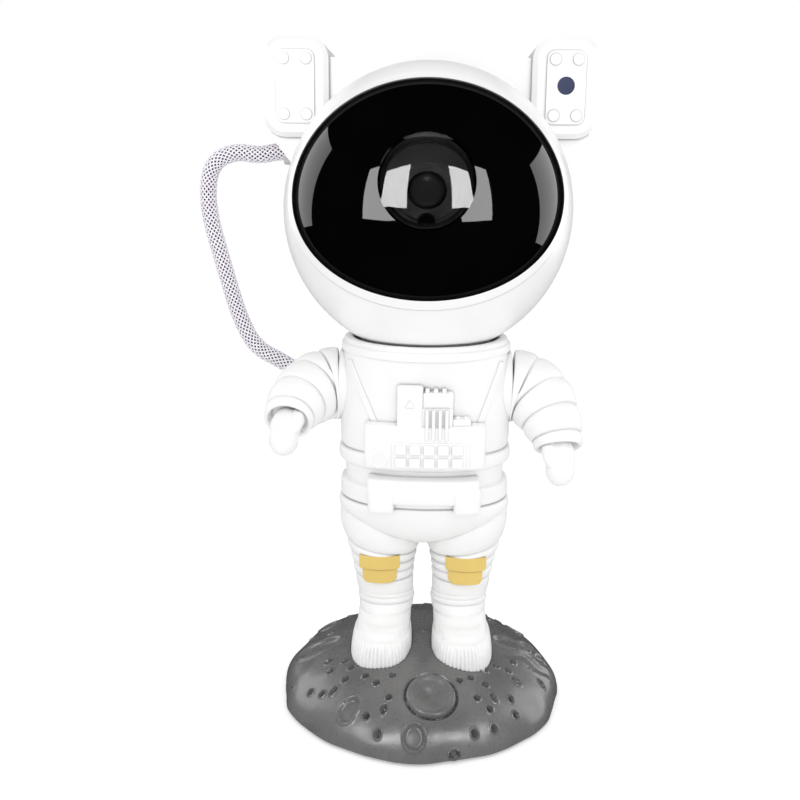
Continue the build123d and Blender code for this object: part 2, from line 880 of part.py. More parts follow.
def arm_plane(side, raised, point, direction):
    """Plane across an arm, at a point that is given from the shoulder for an arm that isn't raised."""
    place = Vector(*point).rotate(Axis.X, -raised)
    along = Vector(*direction).rotate(Axis.X, -raised)
    along = Vector(side * along.X, along.Y, along.Z)
    return Plane(
        origin=(side * (shoulder_x + place.X), place.Y, shoulder_z + place.Z),
        x_dir=Vector(0, -1, 1).cross(along),
        z_dir=along,
    )


def sleeve_form(side, raised, inset):
    """Solid sleeve, drawn in by inset from its skin."""
    with BuildPart() as form:
        for out, back, up, radius, direction in sleeve_sections:
            with BuildSketch(arm_plane(side, raised, (out, back, up), direction)):
                Circle(radius - inset)
        loft()
    return form


def egg(plane, radius, half_length):
    """Ellipsoid whose long axis is the plane's normal."""
    with BuildPart() as form:
        with BuildSketch(Plane(origin=plane.origin, x_dir=plane.x_dir, z_dir=plane.y_dir)):
            with BuildLine():
                skin = Spline(
                    *[
                        (radius * cos(radians(angle)), half_length * sin(radians(angle)))
                        for angle in range(-90, 91, 30)
                    ],
                    tangents=((1, 0), (-1, 0)),
                )
                Line(skin @ 1, skin @ 0)
            make_face()
        revolve(axis=Axis(plane.origin, plane.z_dir))
    return form


*cuff_point, cuff_radius, cuff_direction = sleeve_sections[-1]

for side, raised, word in ((-1, left_arm_raise, "left"), (1, 0.0, "right")):
    cuff_plane = arm_plane(side, raised, cuff_point, cuff_direction)
    with BuildPart() as sleeve:
        add(sleeve_form(side, raised, 0).part)
        add(sleeve_form(side, raised, arm_wall).part, mode=Mode.SUBTRACT)
        with BuildSketch(Plane.YZ.offset(side * shoulder_x)):
            with Locations((0, shoulder_z)):
                Circle(hub_radius)
        extrude(amount=side * (axle_reach - body_gap))
        with BuildSketch(Plane.YZ.offset(side * shoulder_x)):
            with Locations((0, shoulder_z)):
                Circle(sleeve_sections[0][3] - arm_wall / 2)
        extrude(amount=side * arm_wall)
        with BuildSketch(Plane.YZ.offset(side * shoulder_x)):
            with Locations((0, shoulder_z)):
                Circle(axle_radius + running_gap)
        extrude(amount=side * axle_reach, mode=Mode.SUBTRACT)
    save(sleeve, f"sleeve_{word}")

    with BuildPart() as hand:
        add(egg(arm_plane(side, raised, hand_point, hand_direction), hand_radius, hand_half_length).part)
        add(egg(arm_plane(side, raised, thumb_point, thumb_direction), thumb_radius, thumb_half_length).part)
        split(bisect_by=cuff_plane, keep=Keep.TOP)
        with BuildSketch(cuff_plane):
            Circle(cuff_radius - cuff_flange_inset)
        extrude(amount=cuff_flange)
        with BuildSketch(cuff_plane):
            Circle(cuff_radius - arm_wall - seat_gap)
        extrude(amount=-cuff_plug)
    save(hand, f"hand_{word}")

# ================================================================ helmet and visor
optic_direction = (0, -cos(radians(optic_tilt)), sin(radians(optic_tilt)))
optic_up = (0, sin(radians(optic_tilt)), cos(radians(optic_tilt)))
optic = Plane(origin=head_centre, x_dir=(1, 0, 0), z_dir=optic_direction)
optic_axis = Axis(head_centre, optic_direction)
optic_section = Plane(
    origin=head_centre, x_dir=(1, 0, 0), z_dir=(0, -optic_up[1], -optic_up[2])
)
seam = Plane.XZ.offset(-head_seam_y)
bezel_half_width = visor_half_width + bezel_width
bezel_half_height = visor_half_height + bezel_height


def visor_prism(half_width, half_height):
    """Elliptical prism along the optic axis, from the helmet's centre outwards."""
    with BuildPart() as prism:
        with BuildSketch(optic):
            Ellipse(half_width, half_height)
        extrude(amount=helmet_radius + 2 * bezel_proud)
    return prism


with BuildPart() as helmet_shell:
    with Locations(head_centre):
        Sphere(helmet_radius)
        Sphere(helmet_inside, mode=Mode.SUBTRACT)

with BuildPart() as helmet_front:
    add(helmet_shell.part)
    add(visor_prism(bezel_half_width + seat_gap, bezel_half_height + seat_gap).part, mode=Mode.SUBTRACT)
    split(bisect_by=seam, keep=Keep.TOP)
save(helmet_front, "helmet_front")

with BuildPart() as helmet_rear:
    add(helmet_shell.part)
    split(bisect_by=seam, keep=Keep.BOTTOM)
    with BuildSketch(Plane.XZ):
        with Locations((0, cable_hole_z)):
            Circle(cable_hole_radius)
    extrude(amount=-pack_cover_y, mode=Mode.SUBTRACT)
save(helmet_rear, "helmet_rear")

with BuildPart() as visor_bezel:
    with Locations(head_centre):
        Sphere(helmet_radius + bezel_proud)
        Sphere(helmet_inside, mode=Mode.SUBTRACT)
    add(visor_prism(bezel_half_width, bezel_half_height).part, mode=Mode.INTERSECT)
    add(visor_prism(visor_half_width, visor_half_height).part, mode=Mode.SUBTRACT)
save(visor_bezel, "visor_bezel")

visor_outside = helmet_radius - visor_inset
skirt_radius = lens_radius - lens_lap
with BuildPart() as visor:
    with Locations(head_centre):
        Sphere(visor_outside)
        Sphere(visor_outside - visor_wall, mode=Mode.SUBTRACT)
    add(visor_prism(visor_half_width - seat_gap, visor_half_height - seat_gap).part, mode=Mode.INTERSECT)
    with BuildSketch(optic):
        Circle(skirt_radius + seat_gap)
    extrude(amount=helmet_radius, mode=Mode.SUBTRACT)
save(visor, "visor")


# ================================================================ optics
def turned(points):
    """Solid of revolution about the optic axis, from corners of radius and distance along it."""
    with BuildPart() as piece:
        with BuildSketch(optic_section):
            with BuildLine():
                Polyline(*points, close=True)
            make_face()
        revolve(axis=optic_axis)
    return piece


rim_s = sqrt(visor_outside**2 - lens_radius**2) + lens_rim_lift
lens_crown = lens_curve - sqrt(lens_curve**2 - lens_radius**2)
rim_under = sqrt(visor_outside**2 - skirt_radius**2) + seat_gap
skirt_end = rim_s - lens_rim_lift - visor_wall - lens_skirt
lens_inner_radius = skirt_radius - lens_skirt
with BuildPart() as projection_lens:
    with BuildSketch(optic_section):
        with BuildLine():
            crown = ThreePointArc(
                (lens_radius, rim_s),
                (
                    lens_radius / 2,
                    rim_s + lens_crown - lens_curve + sqrt(lens_curve**2 - lens_radius**2 / 4),
                ),
                (0, rim_s + lens_crown),
            )
            Polyline(
                crown @ 1,
                (0, rim_s + lens_crown - lens_wall),
                (lens_inner_radius, rim_s - lens_inner_drop),
                (lens_inner_radius, skirt_end),
                (skirt_radius, skirt_end),
                (skirt_radius, rim_under),
                (lens_radius, rim_under),
                crown @ 0,
            )
        make_face()
    revolve(axis=optic_axis)
save(projection_lens, "projection_lens")

frame_front = frame_s + frame_thickness
barrel_front = skirt_end - seat_gap
barrel_bore = skirt_radius - barrel_wall
lens_barrel = turned(
    (
        (barrel_bore, frame_front),
        (skirt_radius, frame_front),
        (skirt_radius, barrel_front),
        (barrel_bore, barrel_front),
    )
)
save(lens_barrel, "lens_barrel")

with BuildPart() as lens_ring:
    with BuildSketch(optic.offset(ring_s)):
        Circle(barrel_bore - seat_gap)
        Circle(inner_lens_radius + seat_gap, mode=Mode.SUBTRACT)
        with Locations((0, -laser_offset)):
            Circle(laser_radius + seat_gap, mode=Mode.SUBTRACT)
    extrude(amount=lens_ring_thickness)
    with BuildSketch(optic.offset(ring_s)):
        Circle(grey_ring_radius)
        Circle(grey_ring_radius - grey_ring_width, mode=Mode.SUBTRACT)
        with Locations((0, -laser_offset)):
            Circle(laser_radius + seat_gap, mode=Mode.SUBTRACT)
    extrude(amount=lens_ring_thickness + grey_ring_proud)
save(lens_ring, "lens_ring")

inner_lens_back = ring_s - inner_lens_setback
with BuildPart() as inner_lens:
    with BuildSketch(optic.offset(inner_lens_back)):
        Circle(inner_lens_radius)
    extrude(amount=inner_lens_thickness)
    fillet(inner_lens.edges(), inner_lens_thickness * lens_edge_share)
save(inner_lens, "inner_lens")

laser_front = ring_s - laser_setback
with BuildPart() as laser_module:
    with BuildSketch(optic.offset(laser_front - laser_length)):
        with Locations((0, -laser_offset)):
            Circle(laser_radius)
    extrude(amount=laser_length)
    with BuildSketch(optic.offset(laser_front)):
        with Locations((0, -laser_offset)):
            Circle(laser_radius * laser_aperture_share)
    extrude(amount=-laser_aperture_depth, mode=Mode.SUBTRACT)
save(laser_module, "laser_module")

with BuildPart() as grating_disc:
    with BuildSketch(optic.offset(ring_s + grating_lift)):
        with Locations((0, -laser_offset)):
            Circle(laser_radius)
    extrude(amount=grating_thickness)
save(grating_disc, "grating_disc")

pitch_radius = gear_module * wheel_teeth / 2
pinion_radius = gear_module * pinion_teeth / 2
pinion_x = wheel_x + pitch_radius + pinion_radius
frame_radius = sqrt(helmet_inside**2 - frame_front**2) - frame_rim_gap
post_spots = [
    (led_board_x + side * (led_board_width / 2 - post_inset), up * (led_board_height / 2 - post_inset))
    for side in (-1, 1)
    for up in (-1, 1)
]
with BuildPart() as lamp_frame:
    with BuildSketch(optic.offset(frame_s)):
        Circle(frame_radius)
        Circle(light_hole_radius, mode=Mode.SUBTRACT)
        with Locations((0, -laser_offset)):
            Circle(laser_radius + seat_gap, mode=Mode.SUBTRACT)
        with Locations((wheel_x, 0)):
            Circle(wheel_axle_radius + seat_gap, mode=Mode.SUBTRACT)
        with Locations((pinion_x, 0)):
            Circle(motor_shaft_radius + body_gap, mode=Mode.SUBTRACT)
    extrude(amount=frame_thickness)
    with BuildSketch(optic.offset(frame_s)):
        with Locations(*post_spots):
            Circle(post_radius)
    extrude(amount=-led_board_gap)
save(lamp_frame, "lamp_frame")

led_front = frame_s - led_board_gap
led_back = led_front - board_thickness
with BuildPart() as led_board:
    with BuildSketch(optic.offset(led_back)):
        with Locations((led_board_x, 0)):
            Rectangle(led_board_width, led_board_height)
    extrude(amount=board_thickness)
save(led_board, "led_board")

with BuildPart() as led_chips:
    with BuildSketch(optic.offset(led_front)):
        with GridLocations(chip_pitch, chip_pitch, 2, 2):
            Rectangle(chip_size, chip_size)
    extrude(amount=chip_height)
save(led_chips, "led_chips")

with BuildPart() as heatsink:
    with BuildSketch(optic.offset(led_back)):
        Rectangle(heatsink_width, heatsink_height)
    extrude(amount=-heatsink_base)
    with BuildSketch(optic.offset(led_back - heatsink_base)):
        with GridLocations((heatsink_width - fin_thickness) / (fin_count - 1), 1, fin_count, 1):
            Rectangle(fin_thickness, heatsink_height)
    extrude(amount=-fin_length)
save(heatsink, "heatsink")

tube_front = led_front + tube_length
light_tube = turned(
    (
        (tube_radius - tube_wall, led_front),
        (tube_radius, led_front),
        (tube_radius, tube_front),
        (tube_radius - tube_wall, tube_front),
    )
)
save(light_tube, "light_tube")

with BuildPart() as condenser_lens:
    with BuildSketch(optic.offset(tube_front - condenser_thickness)):
        Circle(tube_radius - tube_wall - seat_gap)
    extrude(amount=condenser_thickness)
    fillet(condenser_lens.edges().group_by(Axis.Y)[-1], condenser_thickness * lens_edge_share)
save(condenser_lens, "condenser_lens")


# ================================================================ ripple wheel, pinion and motor
def gear_face(teeth, first_angle):
    """Involute gear outline in the open sketch, with a tooth's middle at the first angle."""
    pitch = gear_module * teeth / 2
    base = pitch * cos(radians(pressure_angle))
    tip = pitch + addendum * gear_module
    root = pitch - dedendum * gear_module
    start = max(base, root)

    def half_angle(radius):
        turn = acos(min(1.0, base / radius))
        at_pitch = tan(radians(pressure_angle)) - radians(pressure_angle)
        return (pi * gear_module - backlash) / (4 * pitch) + at_pitch - (tan(turn) - turn)

    flank = [start + (tip - start) * step / 4 for step in range(5)]
    upper = [(radius * cos(half_angle(radius)), radius * sin(half_angle(radius))) for radius in flank]
    foot = (0.9 * root * cos(half_angle(start)), 0.9 * root * sin(half_angle(start)))
    half = [foot] + upper
    mirrored = [(x, -y) for x, y in reversed(half)]
    Circle(root)
    with PolarLocations(0, teeth, start_angle=first_angle):
        Polygon(*half, *mirrored, align=None)


with BuildPart() as ripple_wheel:
    with BuildSketch(optic.offset(wheel_s)):
        with Locations((wheel_x, 0)):
            gear_face(wheel_teeth, 0)
    extrude(amount=wheel_thickness)
    with BuildSketch(optic.offset(wheel_s - wheel_hub_back)):
        with Locations((wheel_x, 0)):
            Circle(wheel_hub_radius)
    extrude(amount=frame_s - body_gap - wheel_s + wheel_hub_back)
    with BuildSketch(optic.offset(wheel_s - wheel_hub_back - body_gap)):
        with Locations((wheel_x, 0)):
            Circle(wheel_axle_radius + running_gap)
    extrude(amount=frame_s, mode=Mode.SUBTRACT)
save(ripple_wheel, "ripple_wheel")

axle_head_s = wheel_s - wheel_hub_back - body_gap
with BuildPart() as wheel_axle:
    with BuildSketch(optic.offset(axle_head_s)):
        with Locations((wheel_x, 0)):
            Circle(wheel_axle_radius)
    extrude(amount=frame_front - axle_head_s)
    with BuildSketch(optic.offset(axle_head_s)):
        with Locations((wheel_x, 0)):
            Circle(axle_head_radius)
    extrude(amount=-axle_head_height)
save(wheel_axle, "wheel_axle")

pinion_s = wheel_s + wheel_thickness / 2 - pinion_thickness / 2
shaft_length = frame_front + motor_bore_depth - motor_shaft_blind - pinion_s
with BuildPart() as motor_pinion:
    with BuildSketch(optic.offset(pinion_s)):
        with Locations((pinion_x, 0)):
            gear_face(pinion_teeth, 180 / pinion_teeth)
    extrude(amount=pinion_thickness)
    with BuildSketch(optic.offset(pinion_s)):
        with Locations((pinion_x, 0)):
            Circle(motor_shaft_radius)
    extrude(amount=shaft_length)
save(motor_pinion, "motor_pinion")

with BuildPart() as drive_motor:
    with BuildSketch(optic.offset(frame_front)):
        with Locations((pinion_x, 0)):
            Circle(motor_radius)
    extrude(amount=motor_length)
    with BuildSketch(optic.offset(frame_front)):
        with Locations((pinion_x, 0)):
            Circle(motor_shaft_radius + running_gap)
    extrude(amount=motor_bore_depth, mode=Mode.SUBTRACT)
    with BuildSketch(optic.offset(frame_front + motor_length)):
        with Locations((pinion_x, 0)):
            Circle(motor_radius * motor_boss_share)
    extrude(amount=motor_boss_height)
save(drive_motor, "drive_motor")


# ================================================================ backpack
def pack_block(front_y, back_y, inset):
    """Solid slab of the backpack's outline, drawn in by inset, between two depths."""
    flank_x = ear_x + ear_width / 2 - flank_step
    with BuildPart() as block:
        with BuildSketch(Plane.XZ.offset(-front_y)) as outline:
            with BuildLine():
                Polyline(
                    (0, pack_top_z),
                    (bridge_top_x, pack_top_z),
                    (bridge_bottom_x, shoulder_line_z),
                    (ear_x, shoulder_line_z),
                    (flank_x, ear_z),
                    (flank_x, ear_z - ear_height / 2),
                    (pack_waist_x, pack_waist_z),
                    (pack_bottom_x, pack_bottom_z),
                    (0, pack_bottom_z),
                )
                mirror(about=Plane.YZ)
            make_face()
            fillet(outline.vertices().group_by(Axis.Y)[0], pack_corner)
            with Locations((-ear_x, ear_z), (ear_x, ear_z)):
                RectangleRounded(ear_width, ear_height, ear_corner)
            if inset:
                offset(amount=-inset, kind=Kind.INTERSECTION, mode=Mode.REPLACE)
        extrude(amount=front_y - back_y)
    return block


window_z = ear_z + window_lift
with BuildPart() as pack_cavity:
    add(pack_block(pack_front_y + pack_wall, pack_cover_y, pack_wall).part)
    with Locations(head_centre):
        Sphere(helmet_radius + pack_wall, mode=Mode.SUBTRACT)

upper_socket_plane = Plane(
    origin=hose_route_upper[0], z_dir=Vector(*hose_route_upper[1]) - Vector(*hose_route_upper[0])
)
screw_post_spots = [
    (x, z)
    for x in (-pack_screw_x, pack_screw_x)
    for z in (pack_bottom_z + pack_screw_up, shoulder_line_z - pack_screw_drop)
]
with BuildPart() as pack_frame:
    add(pack_block(pack_front_y, pack_cover_y, 0).part)
    for x in (-ear_x, ear_x):
        with BuildPart(mode=Mode.PRIVATE) as ear:
            with BuildSketch(Plane.XZ.offset(-ear_front_y)):
                with Locations((x, ear_z)):
                    RectangleRounded(
                        ear_width - 2 * ear_bevel, ear_height - 2 * ear_bevel, ear_corner - ear_bevel
                    )
            with BuildSketch(Plane.XZ.offset(-ear_front_y - ear_bevel)):
                with Locations((x, ear_z)):
                    RectangleRounded(ear_width, ear_height, ear_corner)
            loft()
            with BuildSketch(Plane.XZ.offset(-ear_front_y - ear_bevel)):
                with Locations((x, ear_z)):
                    RectangleRounded(ear_width, ear_height, ear_corner)
            extrude(amount=-(pack_cover_y - ear_front_y - ear_bevel))
            with BuildSketch(Plane.XZ.offset(-ear_front_y)):
                with Locations((x, ear_z)):
                    RectangleRounded(
                        ear_width - 2 * ear_panel_inset,
                        ear_height - 2 * ear_panel_inset,
                        ear_corner - ear_panel_inset,
                    )
            extrude(amount=ear_panel_proud)
            with BuildSketch(Plane.XZ.offset(-ear_front_y + ear_panel_proud)):
                with Locations((x, ear_z)):
                    with GridLocations(rivet_pitch_x, rivet_pitch_z, 2, 2):
                        Circle(rivet_radius)
            extrude(amount=rivet_proud)
        add(ear.part)
    add(pack_cavity.part, mode=Mode.SUBTRACT)
    for x in (-ear_x, ear_x):
        with BuildSketch(Plane.XZ.offset(-ear_front_y - pack_wall)):
            with Locations((x, ear_z)):
                RectangleRounded(
                    ear_width - 2 * pack_wall - 2 * ear_bevel,
                    ear_height - 2 * pack_wall - 2 * ear_bevel,
                    ear_corner - ear_bevel - pack_wall,
                )
        extrude(amount=-(pack_cover_y - ear_front_y - pack_wall), mode=Mode.SUBTRACT)
    with BuildSketch(Plane.XZ.offset(-pack_cover_y)):
        with Locations(*screw_post_spots):
            Circle(screw_radius + shell_wall)
    extrude(amount=pack_cover_y - pack_front_y - pack_wall / 2)
    with Locations(head_centre):
        Sphere(helmet_radius + seat_gap, mode=Mode.SUBTRACT)
    with BuildSketch(Plane.XZ.offset(-pack_cover_y)):
        with Locations(*screw_post_spots):
            Circle(screw_radius + seat_gap)
    extrude(amount=cover_screw_reach, mode=Mode.SUBTRACT)
    with BuildSketch(Plane.XZ):
        with Locations((0, cable_hole_z)):
            Circle(cable_hole_radius)
        with Locations((ear_x, window_z)):
            Circle(window_radius + seat_gap)
    extrude(amount=-pack_cover_y + pack_wall, both=True, mode=Mode.SUBTRACT)
    with BuildSketch(upper_socket_plane.offset(socket_length)):
        Circle(socket_radius + seat_gap)
    extrude(amount=-2 * socket_length, mode=Mode.SUBTRACT)
save(pack_frame, "pack_frame")

save(hose_socket(upper_socket_plane), "hose_socket_upper")

with BuildPart() as ir_window:
    with BuildSketch(Plane.XZ.offset(-ear_front_y + ear_panel_proud)):
        with Locations((ear_x, window_z)):
            Circle(window_radius)
    extrude(amount=-pack_wall - ear_panel_proud)
save(ir_window, "ir_window")

with BuildPart() as ir_receiver:
    with BuildSketch(Plane.XZ.offset(-ear_front_y - pack_wall - seat_gap)):
        with Locations((ear_x, window_z)):
            Rectangle(receiver_size, receiver_size)
    extrude(amount=-receiver_depth)
save(ir_receiver, "ir_receiver")

# ================================================================ pack cover and its electronics
board_back = main_board_y + board_thickness
cover_inside = pack_back_y - pack_wall
usb_mouth_y = pack_back_y - usb_recess
button_spots = [(step * button_pitch, button_z) for step in (-1, 0, 1)]
board_spots = [
    (x, main_board_z + z) for x in (-board_post_x, board_post_x) for z in (-board_post_z, board_post_z)
]

with BuildPart() as pack_cover:
    add(pack_block(pack_cover_y, pack_back_y, 0).part)
    chamfer(pack_cover.faces().sort_by(Axis.Y)[-1].edges(), cover_edge)
    add(pack_block(pack_cover_y, cover_inside, pack_wall).part, mode=Mode.SUBTRACT)
    with BuildSketch(Plane.XZ.offset(-cover_inside)):
        with Locations(*board_spots):
            Circle(post_radius + board_post_flange)
    extrude(amount=cover_inside - board_back)
    with BuildSketch(Plane.XZ.offset(-pack_cover_y)):
        with Locations(*screw_post_spots):
            Circle(screw_head_radius + shell_wall)
    extrude(amount=pack_cover_y - cover_inside)
    with BuildSketch(Plane.XZ.offset(-pack_cover_y)):
        with Locations(*screw_post_spots):
            Circle(screw_radius + seat_gap)
        with Locations(*button_spots):
            Circle(button_radius + body_gap)
        with Locations((0, usb_z)):
            RectangleRounded(
                usb_width + 2 * seat_gap, usb_height + 2 * seat_gap, usb_height * usb_corner_share
            )
        with Locations((0, vent_z)):
            with GridLocations(1, vent_pitch, 1, vent_count):
                SlotOverall(vent_width, vent_height)
    extrude(amount=-(pack_back_y - pack_cover_y), mode=Mode.SUBTRACT)
    with BuildSketch(Plane.XZ.offset(-pack_back_y + screw_head_height)):
        with Locations(*screw_post_spots):
            Circle(screw_head_radius + seat_gap)
    extrude(amount=-screw_head_height, mode=Mode.SUBTRACT)
save(pack_cover, "pack_cover")

with BuildPart() as pack_screws:
    with BuildSketch(Plane.XZ.offset(-pack_back_y + screw_head_height)):
        with Locations(*screw_post_spots):
            Circle(screw_head_radius)
    extrude(amount=-screw_head_height + pack_screw_recess)
    with BuildSketch(Plane.XZ.offset(-pack_back_y + screw_head_height)):
        with Locations(*screw_post_spots):
            Circle(screw_radius)
    extrude(amount=pack_back_y - screw_head_height - pack_cover_y + cover_screw_reach - cover_screw_blind)
save(pack_screws, "pack_screws")

with BuildPart() as main_board:
    with BuildSketch(Plane.XZ.offset(-main_board_y)):
        with Locations((0, main_board_z)):
            Rectangle(main_board_width, main_board_height)
    extrude(amount=-board_thickness)
save(main_board, "main_board")

with BuildPart() as tact_switches:
    with BuildSketch(Plane.XZ.offset(-board_back)):
        with Locations(*button_spots):
            Rectangle(switch_size, switch_size)
    extrude(amount=-switch_height)
    with BuildSketch(Plane.XZ.offset(-board_back - switch_height)):
        with Locations(*button_spots):
            Circle(plunger_radius)
    extrude(amount=-plunger_height)
save(tact_switches, "tact_switches")

with BuildPart() as usb_socket:
    with BuildSketch(Plane.XZ.offset(-board_back)):
        with Locations((0, usb_z)):
            RectangleRounded(usb_width, usb_height, usb_height * usb_corner_share)
    extrude(amount=-(usb_mouth_y - board_back))
    with BuildSketch(Plane.XZ.offset(-usb_mouth_y)):
        with Locations((0, usb_z)):
            RectangleRounded(
                usb_width - 2 * usb_wall, usb_height - 2 * usb_wall, usb_height * usb_mouth_share
            )
    extrude(amount=usb_mouth_depth, mode=Mode.SUBTRACT)
    with BuildSketch(Plane.XZ.offset(-usb_mouth_y + usb_tongue_setback)):
        with Locations((0, usb_z)):
            Rectangle(usb_width - 2 * usb_tongue_inset, usb_tongue_thickness)
    extrude(amount=usb_tongue_length)
save(usb_socket, "usb_socket")

plunger_end = board_back + switch_height + plunger_height
button_back = plunger_end + button_travel + body_gap
for (x, z), word in zip(button_spots, ("left", "middle", "right")):
    with BuildPart() as button:
        with BuildSketch(Plane.XZ.offset(-button_back)):
            with Locations((x, z)):
                Circle(button_radius)
        extrude(amount=-(pack_back_y + button_proud - button_back))
        chamfer(button.faces().sort_by(Axis.Y)[-1].edges(), button_edge)
        with BuildSketch(Plane.XZ.offset(-cover_inside + body_gap)):
            with Locations((x, z)):
                Circle(button_radius + button_flange)
        extrude(amount=button_flange_height)
    save(button, f"button_{word}")


# ================================================================ hose
def hose(points, name):
    """Straight runs joined by tangent arcs, each as large as its two runs allow."""
    radii = []
    for before, corner, after in zip(points, points[1:], points[2:]):
        first = Vector(*corner) - Vector(*before)
        second = Vector(*after) - Vector(*corner)
        turn = radians(first.get_angle(second))
        radii.append(0.45 * min(first.length, second.length) / tan(turn / 2))
    print(name, "bend radii", [round(radius, 1) for radius in radii])
    with BuildPart() as tube:
        with BuildLine() as path:
            FilletPolyline(*points, radius=radii)
        centreline = path.wires()[0]
        with BuildSketch(Plane(origin=centreline @ 0, z_dir=centreline % 0)):
            Circle(hose_radius)
        sweep()
    section_volume = pi * hose_radius**2 * centreline.length
    print(name, "length", round(centreline.length, 1), "volume share", tube.part.volume / section_volume)
    save(tube, name)


hose((*hose_route_upper, hose_joint), "hose_upper")
hose((hose_joint, *hose_route_lower), "hose_lower")
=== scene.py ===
import json
from math import atan2, cos, degrees, exp, hypot, pi, radians, sin, sqrt

import bmesh
import bpy
from mathutils import Matrix, Vector
from mathutils.kdtree import KDTree


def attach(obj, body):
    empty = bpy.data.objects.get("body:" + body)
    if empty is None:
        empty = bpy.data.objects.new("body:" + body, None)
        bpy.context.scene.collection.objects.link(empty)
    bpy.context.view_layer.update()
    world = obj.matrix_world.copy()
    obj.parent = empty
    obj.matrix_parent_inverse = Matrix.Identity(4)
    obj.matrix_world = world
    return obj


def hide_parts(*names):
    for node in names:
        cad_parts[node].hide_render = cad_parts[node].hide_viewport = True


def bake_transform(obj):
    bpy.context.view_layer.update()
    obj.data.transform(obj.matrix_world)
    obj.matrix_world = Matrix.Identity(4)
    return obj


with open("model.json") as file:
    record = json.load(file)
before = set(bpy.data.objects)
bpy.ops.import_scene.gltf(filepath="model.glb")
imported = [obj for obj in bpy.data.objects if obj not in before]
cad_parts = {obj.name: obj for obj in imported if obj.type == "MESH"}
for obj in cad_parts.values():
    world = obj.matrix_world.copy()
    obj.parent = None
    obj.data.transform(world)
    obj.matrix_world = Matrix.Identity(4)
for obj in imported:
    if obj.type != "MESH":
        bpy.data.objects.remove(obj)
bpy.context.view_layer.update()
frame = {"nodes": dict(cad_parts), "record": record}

# A small astronaut on a cratered moon base that projects stars through its visor.
# Metres, +Z up, the visor faces -Y. Lengths below are in millimetres until they meet mm.
mm = 0.001
nodes = frame["nodes"]
scene = bpy.context.scene

pad_top = 1.0
dome_radius, dome_height = 49.8, 21.0
leg_x = 13.7
shoulder_x, shoulder_z = 29.1, 113.5
helmet_z = 171.5
left_arm_raised, right_arm_raised = 28.0, 0.0  # degrees forward of the resting arm


# ------------------------------------------------------------------ camera, light and floor
camera_place = (2.7472, -327.8908, 186.2216)
camera_right = (0.99929725, 0.03660745, 0.00805482)
camera_up = (-0.01635476, 0.2324726, 0.97246542)
sensor_width, focal_length = 36.0, 44.194
room_white, floor_white, floor_glow = 0.84, 0.8, 0.34


def add_camera():
    data = bpy.data.cameras.new("studio camera")
    data.sensor_width = sensor_width
    data.lens = focal_length
    data.clip_start = 0.005
    camera = bpy.data.objects.new("studio camera", data)
    scene.collection.objects.link(camera)
    right, up = Vector(camera_right), Vector(camera_up)
    turn = Matrix((right, up, right.cross(up))).transposed().to_4x4()
    camera.matrix_world = Matrix.Translation(Vector(camera_place) * mm) @ turn
    scene.camera = camera


def add_softbox(name, place, aim, width, height, radiance, mirrored_only):
    """Area light that either lights the object or only shows in its glossy pieces."""
    data = bpy.data.lights.new(name, "AREA")
    data.shape = "RECTANGLE"
    data.size = width
    data.size_y = height
    data.energy = radiance * pi * width * height
    lamp = bpy.data.objects.new(name, data)
    scene.collection.objects.link(lamp)
    lamp.location = place
    lamp.rotation_euler = (Vector(aim) - Vector(place)).to_track_quat("-Z", "Y").to_euler()
    lamp.visible_camera = False
    lamp.visible_diffuse = not mirrored_only
    lamp.visible_glossy = mirrored_only
    lamp.visible_transmission = False


def add_world():
    """White to the camera, a soft white light, and black to whatever is glossy or clear."""
    world = bpy.data.worlds.new("white room")
    scene.world = world
    world.use_nodes = True
    tree = world.node_tree
    path = tree.nodes.new("ShaderNodeLightPath")
    colour = None
    for ray, level in (("Is Glossy Ray", 0.0), ("Is Transmission Ray", 0.0), ("Is Camera Ray", 1.0)):
        mix = tree.nodes.new("ShaderNodeMixRGB")
        mix.inputs["Color1"].default_value = (room_white, room_white, room_white, 1)
        mix.inputs["Color2"].default_value = (level, level, level, 1)
        tree.links.new(path.outputs[ray], mix.inputs["Fac"])
        if colour:
            tree.links.new(colour, mix.inputs["Color1"])
        colour = mix.outputs["Color"]
    tree.links.new(colour, tree.nodes["Background"].inputs["Color"])
    tree.nodes["Background"].inputs["Strength"].default_value = 1.0


def add_floor():
    bpy.ops.mesh.primitive_plane_add(size=6.0)
    floor = bpy.context.active_object
    floor.name = "floor"
    paint = bpy.data.materials.new("white paper")
    paint.use_nodes = True
    shader = paint.node_tree.nodes["Principled BSDF"]
    shader.inputs["Base Color"].default_value = (floor_white, floor_white, floor_white, 1)
    shader.inputs["Roughness"].default_value = 0.9
    shader.inputs["Specular IOR Level"].default_value = 0.0
    shader.inputs["Emission Color"].default_value = (1, 1, 1, 1)
    shader.inputs["Emission Strength"].default_value = floor_glow
    floor.data.materials.append(paint)
    floor.visible_glossy = False


scene.view_settings.view_transform = "Standard"
add_camera()
add_world()
add_floor()
head_height = helmet_z * mm
add_softbox("left strip", (-0.194, -0.27, 0.268), (-0.194, 0, 0.268), 0.195, 0.24, 12.0, True)
add_softbox("right strip", (0.208, -0.27, 0.27), (0.208, 0, 0.27), 0.17, 0.245, 12.0, True)
add_softbox("left rear panel", (-0.52, 0.26, 0.3), (0, 0, head_height), 0.4, 0.45, 2.6, True)
add_softbox("right rear panel", (0.54, 0.22, 0.22), (0, 0, head_height), 0.4, 0.45, 3.2, True)
add_softbox("overhead fill", (0, -0.1, 0.9), (0, 0, 0.1), 0.9, 0.9, 0.45, False)
add_softbox("front fill", (0.1, -0.9, 0.7), (0, 0, 0.1), 1.0, 1.0, 0.75, False)


# ------------------------------------------------------------------ making pieces
def clear():
    if bpy.context.mode != "OBJECT":
        bpy.ops.object.mode_set(mode="OBJECT")
    bpy.ops.object.select_all(action="DESELECT")


